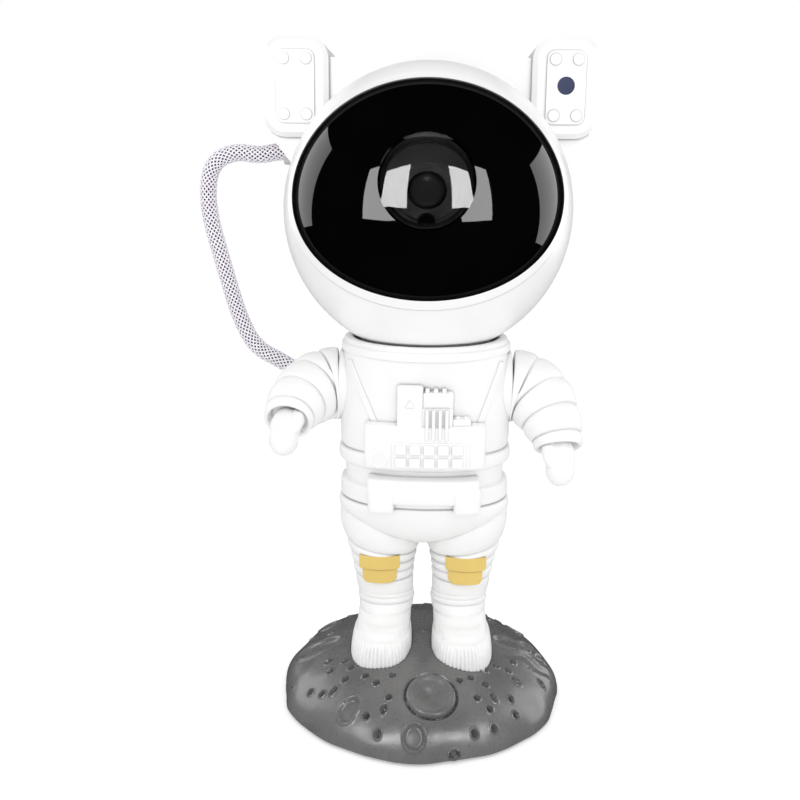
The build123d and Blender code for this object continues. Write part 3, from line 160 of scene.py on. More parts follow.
def take(name):
    """Names the primitive that was just added, and puts its place into its mesh."""
    piece = bpy.context.active_object
    bpy.ops.object.transform_apply(location=True, rotation=True, scale=True)
    piece.name = piece.data.name = name
    return piece


def edit(piece, kind="FACE"):
    clear()
    piece.select_set(True)
    bpy.context.view_layer.objects.active = piece
    bpy.ops.object.mode_set(mode="EDIT")
    bpy.ops.mesh.select_mode(type=kind)
    bpy.ops.mesh.select_all(action="DESELECT")


def choose(piece, kind, rule):
    """In edit mode, selects only the faces, edges or vertices that the rule picks."""
    bpy.ops.mesh.select_mode(type=kind)
    bpy.ops.mesh.select_all(action="DESELECT")
    mesh = bmesh.from_edit_mesh(piece.data)
    items = {"FACE": mesh.faces, "EDGE": mesh.edges, "VERT": mesh.verts}[kind]
    for item in items:
        if rule(item):
            item.select_set(True)
    mesh.select_flush_mode()
    bmesh.update_edit_mesh(piece.data)


def modify(piece, kind, **values):
    """Adds a modifier and applies it."""
    clear()
    bpy.context.view_layer.objects.active = piece
    piece.select_set(True)
    modifier = piece.modifiers.new(kind.lower(), kind)
    for key, value in values.items():
        setattr(modifier, key, value)
    bpy.ops.object.modifier_apply(modifier=modifier.name)


def outward(piece):
    edit(piece)
    bpy.ops.mesh.select_all(action="SELECT")
    bpy.ops.mesh.remove_doubles(threshold=0.000005)
    bpy.ops.mesh.normals_make_consistent(inside=False)
    bpy.ops.object.mode_set(mode="OBJECT")


def smooth(piece, angle):
    clear()
    piece.select_set(True)
    bpy.context.view_layer.objects.active = piece
    bpy.ops.object.shade_smooth_by_angle(angle=radians(angle))


def join(pieces, name):
    clear()
    for piece in pieces:
        piece.select_set(True)
    bpy.context.view_layer.objects.active = pieces[0]
    if len(pieces) > 1:
        bpy.ops.object.join()
    pieces[0].name = pieces[0].data.name = name
    return pieces[0]


def mirrored(piece, name):
    """Copy of a piece, with a mesh of its own, on the other side of the figure."""
    copy = piece.copy()
    copy.data = piece.data.copy()
    copy.name = copy.data.name = name
    scene.collection.objects.link(copy)
    edit(copy)
    bpy.ops.mesh.select_all(action="SELECT")
    bpy.ops.transform.resize(value=(-1, 1, 1), center_override=(0, 0, 0))
    bpy.ops.object.mode_set(mode="OBJECT")
    outward(copy)
    return copy


def stack(name, levels, segments):
    """Open form raised ring by ring; a level is height, half width, half depth, x and y."""
    clear()
    z, width, depth, x, y = levels[0]
    bpy.ops.mesh.primitive_circle_add(vertices=segments, radius=mm, location=(x * mm, y * mm, z * mm))
    bpy.context.active_object.scale = (width, depth, 1)
    piece = take(name)
    edit(piece, "EDGE")
    bpy.ops.mesh.select_all(action="SELECT")
    for before, after in zip(levels, levels[1:]):
        shift = [(after[i] - before[i]) * mm for i in (3, 4, 0)]
        bpy.ops.mesh.extrude_region_move(TRANSFORM_OT_translate={"value": shift})
        bpy.ops.transform.resize(
            value=(after[1] / before[1], after[2] / before[2], 1),
            center_override=(after[3] * mm, after[4] * mm, after[0] * mm),
        )
    bpy.ops.object.mode_set(mode="OBJECT")
    return piece


def close(piece):
    """Fills the open ends of a form and points its faces outwards."""
    edit(piece, "EDGE")
    choose(piece, "EDGE", lambda edge: edge.is_boundary)
    bpy.ops.mesh.fill_holes(sides=0)
    outward(piece)


def block(name, centre, size, bevel, slices):
    """Box with rounded edges, cut into slices across its width if it is to be bent."""
    clear()
    bpy.ops.mesh.primitive_cube_add(size=1, location=Vector(centre) * mm)
    bpy.context.active_object.scale = Vector(size) * mm
    piece = take(name)
    if slices:
        edit(piece, "EDGE")
        choose(piece, "EDGE", lambda edge: abs(edge.verts[0].co.x - edge.verts[1].co.x) > 0.1 * mm)
        bpy.ops.mesh.subdivide(number_cuts=slices)
        bpy.ops.object.mode_set(mode="OBJECT")
    modify(piece, "BEVEL", width=bevel * mm, segments=3, limit_method="ANGLE")
    return piece


def dress(piece, body, slot, finish, *replaced):
    """Gives a finished piece its body and its finish; the slot argument is not used."""
    piece.data.materials.clear()
    piece.data.materials.append(finish)
    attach(piece, body)
    if replaced:
        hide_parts(*replaced)


def lay_spline(name, spots, resolution):
    """Curve object with a smooth spline from the first of the spots to the last."""
    line = bpy.data.curves.new(name, "CURVE")
    line.dimensions = "3D"
    line.resolution_u = resolution
    run = line.splines.new("NURBS")
    run.points.add(len(spots) - 1)
    for point, spot in zip(run.points, spots):
        point.co = (*(Vector(spot) * mm), 1)
    run.order_u = 3
    run.use_endpoint_u = True
    curve = bpy.data.objects.new(name, line)
    scene.collection.objects.link(curve)
    return curve


# ------------------------------------------------------------------ finishes
painted_shade_reach = 1.1  # how near two walls stand where painted shade darkens the creases
grain_height = 0.1


def new_group(name, inputs, outputs):
    group = bpy.data.node_groups.new(name, "ShaderNodeTree")
    for label, kind, value in inputs:
        socket = group.interface.new_socket(label, in_out="INPUT", socket_type=kind)
        socket.default_value = value
    for label, kind in outputs:
        group.interface.new_socket(label, in_out="OUTPUT", socket_type=kind)
    return group, group.nodes.new("NodeGroupInput"), group.nodes.new("NodeGroupOutput")


def ranged(tree, value, low, high):
    """Maps a noise onto the range between two numbers or sockets."""
    node = tree.nodes.new("ShaderNodeMapRange")
    node.inputs["From Min"].default_value = 0.3
    node.inputs["From Max"].default_value = 0.7
    tree.links.new(value, node.inputs["Value"])
    for label, end in (("To Min", low), ("To Max", high)):
        if isinstance(end, (int, float)):
            node.inputs[label].default_value = end
        else:
            tree.links.new(end, node.inputs[label])
    return node.outputs["Result"]


def noise(tree, place, scale, detail=3.0):
    node = tree.nodes.new("ShaderNodeTexNoise")
    node.inputs["Detail"].default_value = detail
    tree.links.new(place, node.inputs["Vector"])
    tree.links.new(scale, node.inputs["Scale"])
    return node.outputs["Fac"]


def grain_and_painted_shade_group():
    """Clouded colour, painted shade darkening the creases, uneven sheen and fine grain of a moulded or
    painted surface.
    """
    group, start, end = new_group(
        "grain and painted shade",
        [
            ("Light Colour", "NodeSocketColor", (1, 1, 1, 1)),
            ("Dark Colour", "NodeSocketColor", (0.8, 0.8, 0.8, 1)),
            ("Cloud Scale", "NodeSocketFloat", 40.0),
            ("Grain Scale", "NodeSocketFloat", 1500.0),
            ("Smoothest", "NodeSocketFloat", 0.4),
            ("Roughest", "NodeSocketFloat", 0.5),
            ("Crease Shade", "NodeSocketFloat", 1.0),
        ],
        [("Colour", "NodeSocketColor"), ("Roughness", "NodeSocketFloat"), ("Height", "NodeSocketFloat")],
    )
    place = group.nodes.new("ShaderNodeTexCoord").outputs["Object"]
    cloud = noise(group, place, start.outputs["Cloud Scale"])
    grain = noise(group, place, start.outputs["Grain Scale"], 2.0)
    mix = group.nodes.new("ShaderNodeMixRGB")
    group.links.new(ranged(group, cloud, 0.0, 1.0), mix.inputs["Fac"])
    group.links.new(start.outputs["Light Colour"], mix.inputs["Color1"])
    group.links.new(start.outputs["Dark Colour"], mix.inputs["Color2"])
    # painted shade: an ambient occlusion mask darkens the colour in creases and hollows, where shade would
    # fall
    painted_crease_shade = group.nodes.new("ShaderNodeAmbientOcclusion")
    painted_crease_shade.samples = 8
    painted_crease_shade.inputs["Distance"].default_value = painted_shade_reach * mm
    shade = group.nodes.new("ShaderNodeMapRange")
    shade.inputs["From Min"].default_value = 0.35
    shade.inputs["From Max"].default_value = 0.92
    group.links.new(painted_crease_shade.outputs["AO"], shade.inputs["Value"])
    group.links.new(start.outputs["Crease Shade"], shade.inputs["To Min"])
    darken = group.nodes.new("ShaderNodeMixRGB")
    darken.blend_type = "MULTIPLY"
    darken.inputs["Fac"].default_value = 1.0
    group.links.new(mix.outputs["Color"], darken.inputs["Color1"])
    group.links.new(shade.outputs["Result"], darken.inputs["Color2"])
    group.links.new(darken.outputs["Color"], end.inputs["Colour"])
    sheen = ranged(group, grain, start.outputs["Smoothest"], start.outputs["Roughest"])
    group.links.new(sheen, end.inputs["Roughness"])
    group.links.new(grain, end.inputs["Height"])
    return group


grain_and_painted_shade = grain_and_painted_shade_group()


def finish(name, light, dark, rough, grain=1500.0, cloud=40.0, bump=0.15, painted_crease_shade=1.0, **plain):
    """Material with the shared grain group, which also paints shade into creases; plain holds values of the
    shader's own sockets.
    """
    material = bpy.data.materials.new(name)
    material.use_nodes = True
    tree = material.node_tree
    shader = tree.nodes["Principled BSDF"]
    group = tree.nodes.new("ShaderNodeGroup")
    group.node_tree = grain_and_painted_shade
    group.inputs["Light Colour"].default_value = (*light, 1)
    group.inputs["Dark Colour"].default_value = (*dark, 1)
    group.inputs["Cloud Scale"].default_value = cloud
    group.inputs["Grain Scale"].default_value = grain
    group.inputs["Smoothest"].default_value = rough[0]
    group.inputs["Roughest"].default_value = rough[1]
    # painted shade: the colour is multiplied down to this value at the bottom of creases
    group.inputs["Crease Shade"].default_value = painted_crease_shade
    tree.links.new(group.outputs["Colour"], shader.inputs["Base Color"])
    tree.links.new(group.outputs["Roughness"], shader.inputs["Roughness"])
    relief = tree.nodes.new("ShaderNodeBump")
    relief.inputs["Strength"].default_value = bump
    relief.inputs["Distance"].default_value = grain_height * mm
    tree.links.new(group.outputs["Height"], relief.inputs["Height"])
    tree.links.new(relief.outputs["Normal"], shader.inputs["Normal"])
    for label, value in plain.items():
        shader.inputs[label.replace("_", " ")].default_value = value
    return material


def grey(value, blue=1.0):
    return (value, value, value * blue)


# Below, how dark creases are painted in shade: 1 paints none, 0 paints them black.
finishes = {
    "white_shell": finish("satin white shell", grey(0.9), grey(0.88), (0.32, 0.42), painted_crease_shade=0.2),
    "white_figure": finish("matte white body", grey(0.91), grey(0.89), (0.5, 0.62), bump=0.2, painted_crease_shade=0.6),
    "visor_black": finish(
        "polished black visor", grey(0.0008), grey(0.0014), (0.02, 0.04), bump=0.01, Specular_IOR_Level=0.3
    ),
    "clear_lens": finish(
        "clear lens", grey(0.98), grey(0.97), (0.0, 0.015), bump=0.0, Transmission_Weight=1.0, IOR=1.58
    ),
    "black_plastic": finish("satin black plastic", grey(0.009), grey(0.014), (0.35, 0.5)),
    "grey_ring": finish("satin grey ring", grey(0.09), grey(0.07), (0.3, 0.4)),
    "window_blue": finish(
        "dark blue window", (0.1, 0.11, 0.2), (0.06, 0.07, 0.13), (0.08, 0.14), bump=0.03, painted_crease_shade=0.1
    ),
    # painted shade: the moon is painted darkest, down to black, in the hollows of its pits and crater
    "moon_grey": finish(
        "moulded grey moon", grey(0.17), grey(0.13), (0.25, 0.36),
        grain=900.0, cloud=70.0, bump=0.3, painted_crease_shade=0.0,
    ),
    "patch_gold": finish("matte gold paint", (0.83, 0.61, 0.18), (0.78, 0.56, 0.15), (0.4, 0.52), painted_crease_shade=0.4),
    "silicone": finish("soft grey silicone", grey(0.6), grey(0.55), (0.55, 0.65)),
    "pad_rubber": finish("black foot rubber", grey(0.03), grey(0.04), (0.6, 0.75), grain=700.0, bump=0.5),
    "steel": finish("zinc plated steel", grey(0.6), grey(0.5), (0.22, 0.36), Metallic=1.0),
    "magnet_nickel": finish(
        "nickel plated magnet", grey(0.7, 0.96), grey(0.64, 0.96), (0.1, 0.18), Metallic=1.0
    ),
    "brass": finish("turned brass", (0.78, 0.6, 0.28), (0.7, 0.5, 0.2), (0.2, 0.32), Metallic=1.0),
    "aluminium": finish("anodised aluminium", grey(0.72), grey(0.66), (0.4, 0.52), Metallic=0.3),
    "board_green": finish("green circuit board", (0.02, 0.17, 0.06), (0.015, 0.13, 0.045), (0.25, 0.36)),
    "led_yellow": finish("yellow lamp chip", (0.85, 0.75, 0.2), (0.8, 0.68, 0.15), (0.25, 0.35)),
    "hose_weave": finish("braided hose", (0.9, 0.88, 0.92), (0.8, 0.75, 0.84), (0.5, 0.65), cloud=900.0),
    "button_white": finish("satin white button", grey(0.82), grey(0.79), (0.35, 0.45)),
}
hose_core = finish("dark hose core", (0.03, 0.025, 0.04), (0.02, 0.015, 0.03), (0.6, 0.75))
# The laser barrel is coloured near black in place of its slot's finish.
near_black = finish("burnished laser barrel", grey(0.02), grey(0.014), (0.3, 0.4))

slot_of = {}
for row in frame["record"]["subparts"]:
    slot_of[row["node"]] = row["material_slot"]
for name, node in nodes.items():
    node.data.materials.clear()
    node.data.materials.append(near_black if name == "laser_module" else finishes[slot_of[name]])


# ------------------------------------------------------------------ braided hose
hose_socket = (-22.6, 16.8, 104.4)
hose_joint = (-72.1, 19.9, 150.5)
hose_exit = (-49.6, 22.0, 190.4)
hose_lower_route = (
    hose_socket, (-37.0, 19.2, 107.6), (-52.5, 19.0, 117.2), (-61.6, 18.8, 121.8), (-67.0, 19.3, 132.5),
    (-70.5, 19.8, 144.5), hose_joint,
)
hose_upper_route = (
    hose_joint, (-73.7, 20.0, 156.5), (-76.2, 20.5, 165.5), (-77.6, 21.0, 176.0), (-75.6, 21.4, 186.4),
    (-67.5, 21.8, 190.4), (-59.0, 22.0, 189.0), (-53.5, 22.0, 190.2), hose_exit,
)
braid_radius, core_radius, weave_height = 2.75, 2.45, 0.14
ribbon_width, ribbon_thickness, braid_pitch = 0.62, 0.2, 22.0
ribbons_each_way, core_sides, section_gap = 12, 32, 0.45


def read_spline(name, route):
    """Points close together along the smooth spline of a route, in metres."""
    curve = lay_spline(name, route, 16)
    mesh = bpy.data.meshes.new_from_object(curve)
    points = [vertex.co.copy() for vertex in mesh.vertices]
    bpy.data.objects.remove(curve)
    bpy.data.meshes.remove(mesh)
    return points


def run_length(points):
    return sum((after - before).length for before, after in zip(points, points[1:]))


def cross_sections(points, first):
    """Distance, place, side and rise of each section; first is the distance at the first point."""
    made, run = [], first
    for i, place in enumerate(points):
        if i:
            run += (place - points[i - 1]).length
        along = (points[min(i + 1, len(points) - 1)] - points[max(i - 1, 0)]).normalized()
        side = (Vector((0, 1, 0)) - along * along.y).normalized()
        made.append((run, place, side, along.cross(side)))
    return made


def section_at(made, distance):
    """Place, side and rise at a distance, between the two sections on either side of it."""
    for before, after in zip(made, made[1:]):
        if distance <= after[0]:
            share = (distance - before[0]) / (after[0] - before[0])
            return [before[k].lerp(after[k], share) for k in (1, 2, 3)]
    return made[-1][1:]


def skin_rows(mesh, rows, material):
    """Tube or ribbon over rows of points, closed at both ends."""
    rings = [[mesh.verts.new(point) for point in row] for row in rows]
    for lower, upper in zip(rings, rings[1:]):
        for k in range(len(lower)):
            n = (k + 1) % len(lower)
            mesh.faces.new((lower[k], lower[n], upper[n], upper[k])).material_index = material
    mesh.faces.new(rings[0][::-1]).material_index = material
    mesh.faces.new(rings[-1]).material_index = material


def make_hose(name, points, first):
    """Plain weave of flat ribbons round a dark core; first is the distance at the first point."""
    made = cross_sections(points, first)
    length = run_length(points)
    count = int(length / (section_gap * mm))
    steps = [first + length * i / count for i in range(count + 1)]
    places = [section_at(made, s) for s in steps]
    mesh = bmesh.new()
    for way in (1, -1):
        for ribbon in range(ribbons_each_way):
            rows = []
            for s, (place, side, rise) in zip(steps, places):
                wound = way * 2 * pi * s / (braid_pitch * mm)
                angle = 2 * pi * ribbon / ribbons_each_way + wound
                crossing = (angle + wound) * ribbons_each_way / (2 * pi)
                radius = (braid_radius + way * weave_height * cos(pi * (crossing + ribbon))) * mm
                out = side * cos(angle) + rise * sin(angle)
                wide = (rise * cos(angle) - side * sin(angle)) * ribbon_width / 2 * mm
                thick = out * ribbon_thickness / 2 * mm
                middle = place + out * radius
                row = [middle - wide - thick, middle + wide - thick]
                rows.append(row + [middle + wide + thick, middle - wide + thick])
            skin_rows(mesh, rows, 0)
    ring = [2 * pi * k / core_sides for k in range(core_sides)]
    rows = [
        [place + (side * cos(a) + rise * sin(a)) * core_radius * mm for a in ring]
        for place, side, rise in places
    ]
    skin_rows(mesh, rows, 1)
    hose = bpy.data.objects.new(name, bpy.data.meshes.new(name))
    mesh.to_mesh(hose.data)
    mesh.free()
    scene.collection.objects.link(hose)
    outward(hose)
    smooth(hose, 50)
    return hose


def lay_hose(name, points, first, replaced):
    """One length of the hose, laid along its route."""
    hose = make_hose(name, points, first)
    hose.data.materials.append(finishes["hose_weave"])
    hose.data.materials.append(hose_core)
    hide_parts(replaced)
    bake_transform(hose)


lower_points = read_spline("hose line lower", hose_lower_route)
upper_points = read_spline("hose line upper", hose_upper_route)
# the weave's distances count from the place where the two lengths meet
lower_start = -run_length(lower_points)
lay_hose("hose_braid_lower", lower_points, lower_start, "hose_lower")
lay_hose("hose_braid_upper", upper_points, 0.0, "hose_upper")


# ------------------------------------------------------------------ moon base
crater_x, crater_y, crater_radius, crater_stretch = 3.7, -34.6, 8.6, 1.05
lump_size, lump_height = 16.0, 1.5


def dome_z(x, y):
    """Height of the smooth dome."""
    return pad_top + dome_height * sqrt(max(0.0, 1 - (x * x + y * y) / dome_radius**2))


def pit(t, depth, rim):
    """Small round hole with a soft raised edge; t is the distance over the radius."""
    return rim * exp(-(((t - 1.12) / 0.2) ** 2)) - depth * max(0.0, 1 - t * t)


def dish(t, depth, rim):
    """Flat hollow inside a raised ring."""
    slope = min(1.0, max(0.0, (0.92 - t) / 0.22))
    return rim * exp(-(((t - 1.0) / 0.1) ** 2)) - depth * slope * slope * (3 - 2 * slope)


def bowl(t, depth, rim):
    """Round hollow with a thin raised edge."""
    return rim * exp(-(((t - 1.05) / 0.12) ** 2)) - depth * (0.5 + 0.5 * cos(pi * min(1.0, t)))


def ring_groove(t, depth, rim):
    """Raised ring inside a groove."""
    return rim * exp(-(((t - 0.86) / 0.12) ** 2)) - depth * exp(-(((t - 1.0) / 0.055) ** 2))


def carve(skin, form, spots, depth, rim):
    """Moves the skin along its first normals; a spot is x, y, radius and its length over its width."""
    tree, normals, vertices = skin
    for x, y, radius, stretch in spots:
        centre = tree.find(Vector((x, y, dome_z(x, y))) * mm)[0]
        uphill = (Vector((0, 0, (pad_top + dome_height) * mm)) - centre).normalized()
        for place, index, distance in tree.find_range(centre, radius * stretch * 1.8 * mm):
            along = (place - centre).dot(uphill)
            across = sqrt(max(0.0, distance * distance - along * along))
            t = hypot(along / stretch, across) / (radius * mm)
            vertices[index].co += normals[index] * form(t, depth, rim) * mm


def make_moon():
    clear()
    bpy.ops.mesh.primitive_ico_sphere_add(subdivisions=8, radius=mm, location=(0, 0, pad_top * mm))
    bpy.context.active_object.scale = (dome_radius, dome_radius, dome_height)
    moon = take("moon_skin")
    edit(moon, "VERT")
    choose(moon, "VERT", lambda vertex: vertex.co.z < (pad_top - 0.01) * mm)
    bpy.ops.mesh.delete(type="VERT")
    # gentle swells and dips all over, and a scalloped rim
    lumps = bpy.data.textures.new("moon lumps", "CLOUDS")
    lumps.noise_scale = lump_size * mm
    lumps.noise_depth = 1
    modify(
        moon, "DISPLACE", texture=lumps, strength=lump_height * mm, mid_level=0.5, texture_coords="LOCAL"
    )
    for vertex in moon.data.vertices:
        turn = atan2(vertex.co.y, vertex.co.x)
        near_rim = (hypot(vertex.co.x, vertex.co.y) / (dome_radius * mm)) ** 5
        spread = 0.995 + 0.022 * cos(turn + radians(112))
        spread += near_rim * (0.007 * sin(7 * turn + 1.0) + 0.006 * sin(12 * turn + 2.0))
        vertex.co.x *= spread
        vertex.co.y *= spread
    tree = KDTree(len(moon.data.vertices))
    for vertex in moon.data.vertices:
        tree.insert(vertex.co, vertex.index)
    tree.balance()
    skin = (tree, [vertex.normal.copy() for vertex in moon.data.vertices], moon.data.vertices)
    # the large crater is a ring about a hollow
    carve(skin, ring_groove, [(crater_x, crater_y, crater_radius, crater_stretch)], 0.9, 0.8)
    carve(skin, bowl, [(crater_x + 0.2, crater_y - 0.4, crater_radius - 2.2, crater_stretch)], 1.9, 0.2)
    shallow = (
        (-23.2, -37.4, 3.4, 1.7), (-1.5, -47.2, 3.6, 1.5), (11.3, -48.3, 1.8, 1.1), (-37.4, -1.5, 4.6, 2.2),
        (32.5, 0.5, 4.2, 1.9), (40.0, 4.5, 3.2, 1.7), (-15.0, 34.0, 6.0, 1.1), (21.0, 35.0, 4.4, 1.2),
        (-36.0, 19.0, 4.0, 1.3), (5.0, 43.0, 3.4, 1.1), (36.0, 24.0, 3.4, 1.3),
    )
    carve(skin, dish, shallow, 0.9, 0.6)
    dimples = (
        (-32.5, -14.2), (-26.4, -16.7), (-23.9, -20.7), (-31.2, -20.3), (-25.4, -26.0), (-18.6, -25.6),
        (-14.8, -29.4), (-9.6, -26.8), (-44.7, -17.6), (-37.4, -25.3), (-33.0, -28.3), (-10.1, -35.6),
        (-17.2, -40.5), (13.0, -27.7), (17.0, -25.6), (22.0, -20.2), (25.8, -16.5), (30.1, -17.3),
        (32.4, -11.7), (21.7, -27.4), (18.8, -33.6), (22.8, -36.2), (30.5, -29.4), (31.9, -33.6),
        (0.4, -0.8), (36.7, 17.6), (-28.0, 26.0), (-6.0, 30.0), (12.0, 27.0), (30.0, 31.0),
        (-24.0, 38.0), (2.0, 38.0), (26.0, 20.0), (-42.0, 14.0), (-20.0, 22.0), (-34.0, 8.0),
    )
    carve(skin, pit, [(x, y, 1.1, 1.15) for x, y in dimples], 1.7, 0.45)
    ovals = (
        (-29.1, -29.1), (-11.9, -39.3), (-13.0, -45.5), (32.7, -21.2), (24.3, -31.5), (17.7, -43.7),
        (24.0, -40.7), (42.7, -15.2), (41.3, 0.0),
    )
    carve(skin, pit, [(x, y, 1.1, 2.0) for x, y in ovals], 1.5, 0.5)
    # the wavy flow lines on the right flank
    for k in range(6):
        line = [
            (28.5 + 1.2 * t + 0.35 * k, 6.0 - 3.3 * k + 1.1 * sin(0.7 * t + k), 1.1, 1.0) for t in range(14)
        ]
        carve(skin, lambda t, depth, rim: rim * exp(-2 * t * t), line, 0.0, 0.28 if k % 2 else -0.28)
    # the dome's lower edge turns in to the plate and up behind it
    edit(moon, "EDGE")
    choose(moon, "EDGE", lambda edge: edge.is_boundary)
    for inward in (0.99, 0.957):
        bpy.ops.mesh.extrude_region_move(TRANSFORM_OT_translate={"value": (0, 0, 0)})
        bpy.ops.transform.resize(value=(inward, inward, 1), center_override=(0, 0, 0))
    bpy.ops.mesh.extrude_region_move(TRANSFORM_OT_translate={"value": (0, 0, 2 * mm)})
    bpy.ops.object.mode_set(mode="OBJECT")
    outward(moon)
    smooth(moon, 60)
    dress(moon, "stand", "moon_grey", finishes["moon_grey"], "moon_base")


make_moon()


# ------------------------------------------------------------------ legs, knee patches and boots
leg_lean = 0.085  # the legs stand a little apart as they rise
fold_slope = 2.6  # fall of a fold from the middle of the leg to its side
patch_thickness, patch_edge = 1.5, 0.35
toe_rib_depth, ankle_rise = 0.5, 0.12
instep_low, instep_high, instep_rise = 27.0, 30.2, 0.4


def level(z, width, depth=None, x=0.0, y=0.0):
    """One level of a stack, round where no depth is given."""
    return (z, width, width if depth is None else depth, x, y)


def make_leg():
    """Padded leg with its folds, made on the side of -X and mirrored."""
    # height and radius up the leg; a fold is a tight dip between two swellings
    skin = (
        (34.0, 9.6), (38.9, 9.7), (39.2, 9.8), (41.0, 10.1), (43.6, 10.3), (44.6, 10.2), (44.9, 9.3),
        (45.2, 10.3), (46.6, 10.9), (48.0, 10.8), (48.5, 9.9), (48.9, 10.8), (50.3, 11.4), (51.6, 11.4),
        (52.1, 10.4), (52.5, 11.5), (54.0, 12.3), (55.4, 12.4), (55.9, 11.2), (56.3, 12.5), (58.5, 13.5),
        (61.5, 14.1), (65.0, 14.0), (69.0, 12.8), (73.0, 10.0),
    )
    levels = [level(z, r, r * 1.02, -13.0 - leg_lean * (z - 36)) for z, r in skin]
    leg = stack("padded_leg_left", levels, 96)
    # the folds slope down towards the inside of the leg
    for vertex in leg.data.vertices:
        z = vertex.co.z / mm
        across = (vertex.co.x / mm + leg_x) / 12.0
        rise = min(1.0, max(0.0, (z - 43.0) / 16.0))
        vertex.co.z -= rise * across * fold_slope * mm
    modify(leg, "SUBSURF", levels=1, render_levels=1)
    close(leg)
    smooth(leg, 60)
    return leg


def make_patch(name, low, high, radius, half_angle, corner):
    """Curved plate on the front of the left knee, with rounded lower corners."""
    clear()
    bpy.ops.mesh.primitive_cylinder_add(
        vertices=360, radius=radius * mm, depth=(high - low) * mm, location=(0, 0, (low + high) / 2 * mm),
        end_fill_type="NOTHING",
    )
    patch = take(name)
    edit(patch)
    choose(
        patch, "FACE",
        lambda face: abs(atan2(face.calc_center_median().x, -face.calc_center_median().y)) > half_angle,
    )
    bpy.ops.mesh.delete(type="FACE")
    choose(patch, "EDGE", lambda edge: abs(edge.verts[0].co.z - edge.verts[1].co.z) > mm)
    bpy.ops.mesh.subdivide(number_cuts=11)
    bpy.ops.object.mode_set(mode="OBJECT")
    half = radius * sin(half_angle)
    for vertex in patch.data.vertices:
        side = abs(vertex.co.x / mm) - (half - corner)
        drop = low + corner - vertex.co.z / mm
        if side > 0 and drop > 0:
            share = corner / max(corner, corner * hypot(side, drop) / max(side, drop))
            vertex.co.x -= (1 if vertex.co.x > 0 else -1) * side * (1 - share) * mm
            vertex.co.z += drop * (1 - share) * mm
        vertex.co.x += (-leg_x - 1.2) * mm
    modify(patch, "SOLIDIFY", thickness=patch_thickness * mm, offset=-1)
    outward(patch)
    modify(
        patch, "BEVEL", width=patch_edge * mm, segments=3, limit_method="ANGLE", angle_limit=radians(50)
    )
    smooth(patch, 50)
    return patch


def make_boot():
    """Moulded boot with a ribbed toe cap, an instep panel and an ankle band."""
    # height, half width, front, back and centre
    form = (
        (13.0, 10.5, -22.5, 9.0, 14.2), (17.0, 10.6, -22.6, 9.0, 14.2), (18.6, 10.7, -22.6, 9.0, 14.2),
        (20.4, 10.7, -22.4, 9.0, 14.2), (22.2, 10.6, -22.0, 9.0, 14.1), (24.0, 10.4, -21.4, 9.0, 14.0),
        (25.4, 10.1, -20.6, 9.1, 13.9), (26.1, 9.9, -20.0, 9.1, 13.8), (26.4, 9.4, -18.9, 9.1, 13.7),
        (27.2, 9.4, -18.2, 9.2, 13.6), (28.6, 9.4, -16.6, 9.3, 13.5), (29.8, 9.35, -15.0, 9.4, 13.4),
        (31.0, 9.3, -13.4, 9.5, 13.3), (31.8, 9.3, -12.6, 9.6, 13.2), (32.1, 8.8, -11.7, 9.5, 13.1),
        (32.5, 9.5, -12.0, 9.8, 13.0), (33.6, 9.6, -11.2, 9.9, 12.9), (34.8, 9.6, -10.6, 9.9, 12.9),
        (35.1, 9.1, -9.9, 9.5, 12.9), (35.4, 9.9, -10.7, 10.1, 12.9), (36.2, 10.1, -10.9, 10.3, 12.9),
        (37.0, 10.0, -10.8, 10.2, 12.9), (37.3, 9.4, -10.1, 9.6, 12.9), (37.6, 9.8, -10.5, 10.0, 12.9),
        (38.6, 9.8, -10.5, 10.0, 13.0), (39.0, 9.5, -10.1, 9.7, 13.0), (39.0, 8.4, -8.4, 8.4, 13.0),
    )
    levels = [
        level(z, width, (back - front) / 2, -centre, (front + back) / 2)
        for z, width, front, back, centre in form
    ]
    segments = 240
    boot = stack("moulded_boot_left", levels, segments)
    for vertex in boot.data.vertices:
        z, width, depth, x, y = levels[vertex.index // segments]
        power = 2.0 + 0.7 * min(1.0, max(0.0, (30.0 - z) / 5.0))
        across, along = abs(vertex.co.x / mm - x) / width, abs(vertex.co.y / mm - y) / depth
        swell = (across**power + along**power) ** (-1 / power)
        vertex.co.x = (x + (vertex.co.x / mm - x) * swell) * mm
        vertex.co.y = (y + (vertex.co.y / mm - y) * swell) * mm
    edit(boot, "VERT")

    def toe_rib(vertex):
        """Every fourth step round the toe cap."""
        across, along = vertex.co.x / mm + leg_x, vertex.co.y / mm + 9.0
        step = int((degrees(atan2(across, -along)) + 180) // 1.5)
        return along < -4.0 and 17.2 < vertex.co.z / mm < 25.8 and step % 4 == 0

    choose(boot, "VERT", toe_rib)
    bpy.ops.transform.shrink_fatten(value=-toe_rib_depth * mm)

    def instep(face):
        """Panel over the instep that widens upwards."""
        middle = face.calc_center_median()
        x, z = middle.x / mm + leg_x, middle.z / mm
        if face.normal.y >= -0.3 or not instep_low < z < instep_high:
            return False
        return abs(x) < 5.4 + 0.8 * (z - instep_low)

    choose(boot, "FACE", instep)
    bpy.ops.mesh.extrude_region_shrink_fatten(TRANSFORM_OT_shrink_fatten={"value": instep_rise * mm})
    bpy.ops.object.mode_set(mode="OBJECT")
    # the ankle bands rise a little to the front
    for vertex in boot.data.vertices:
        rise = min(1.0, max(0.0, (vertex.co.z / mm - 31.0) / 4.0))
        vertex.co.z -= ankle_rise * rise * vertex.co.y
    modify(boot, "SUBSURF", levels=1, render_levels=1)
    close(boot)
    smooth(boot, 60)
    return boot


def dress_pair(left, right_name, slot, left_node, right_node):
    """Dresses a left piece and its mirrored copy on the stand."""
    right = mirrored(left, right_name)
    dress(left, "stand", slot, finishes[slot], left_node)
    dress(right, "stand", slot, finishes[slot], right_node)


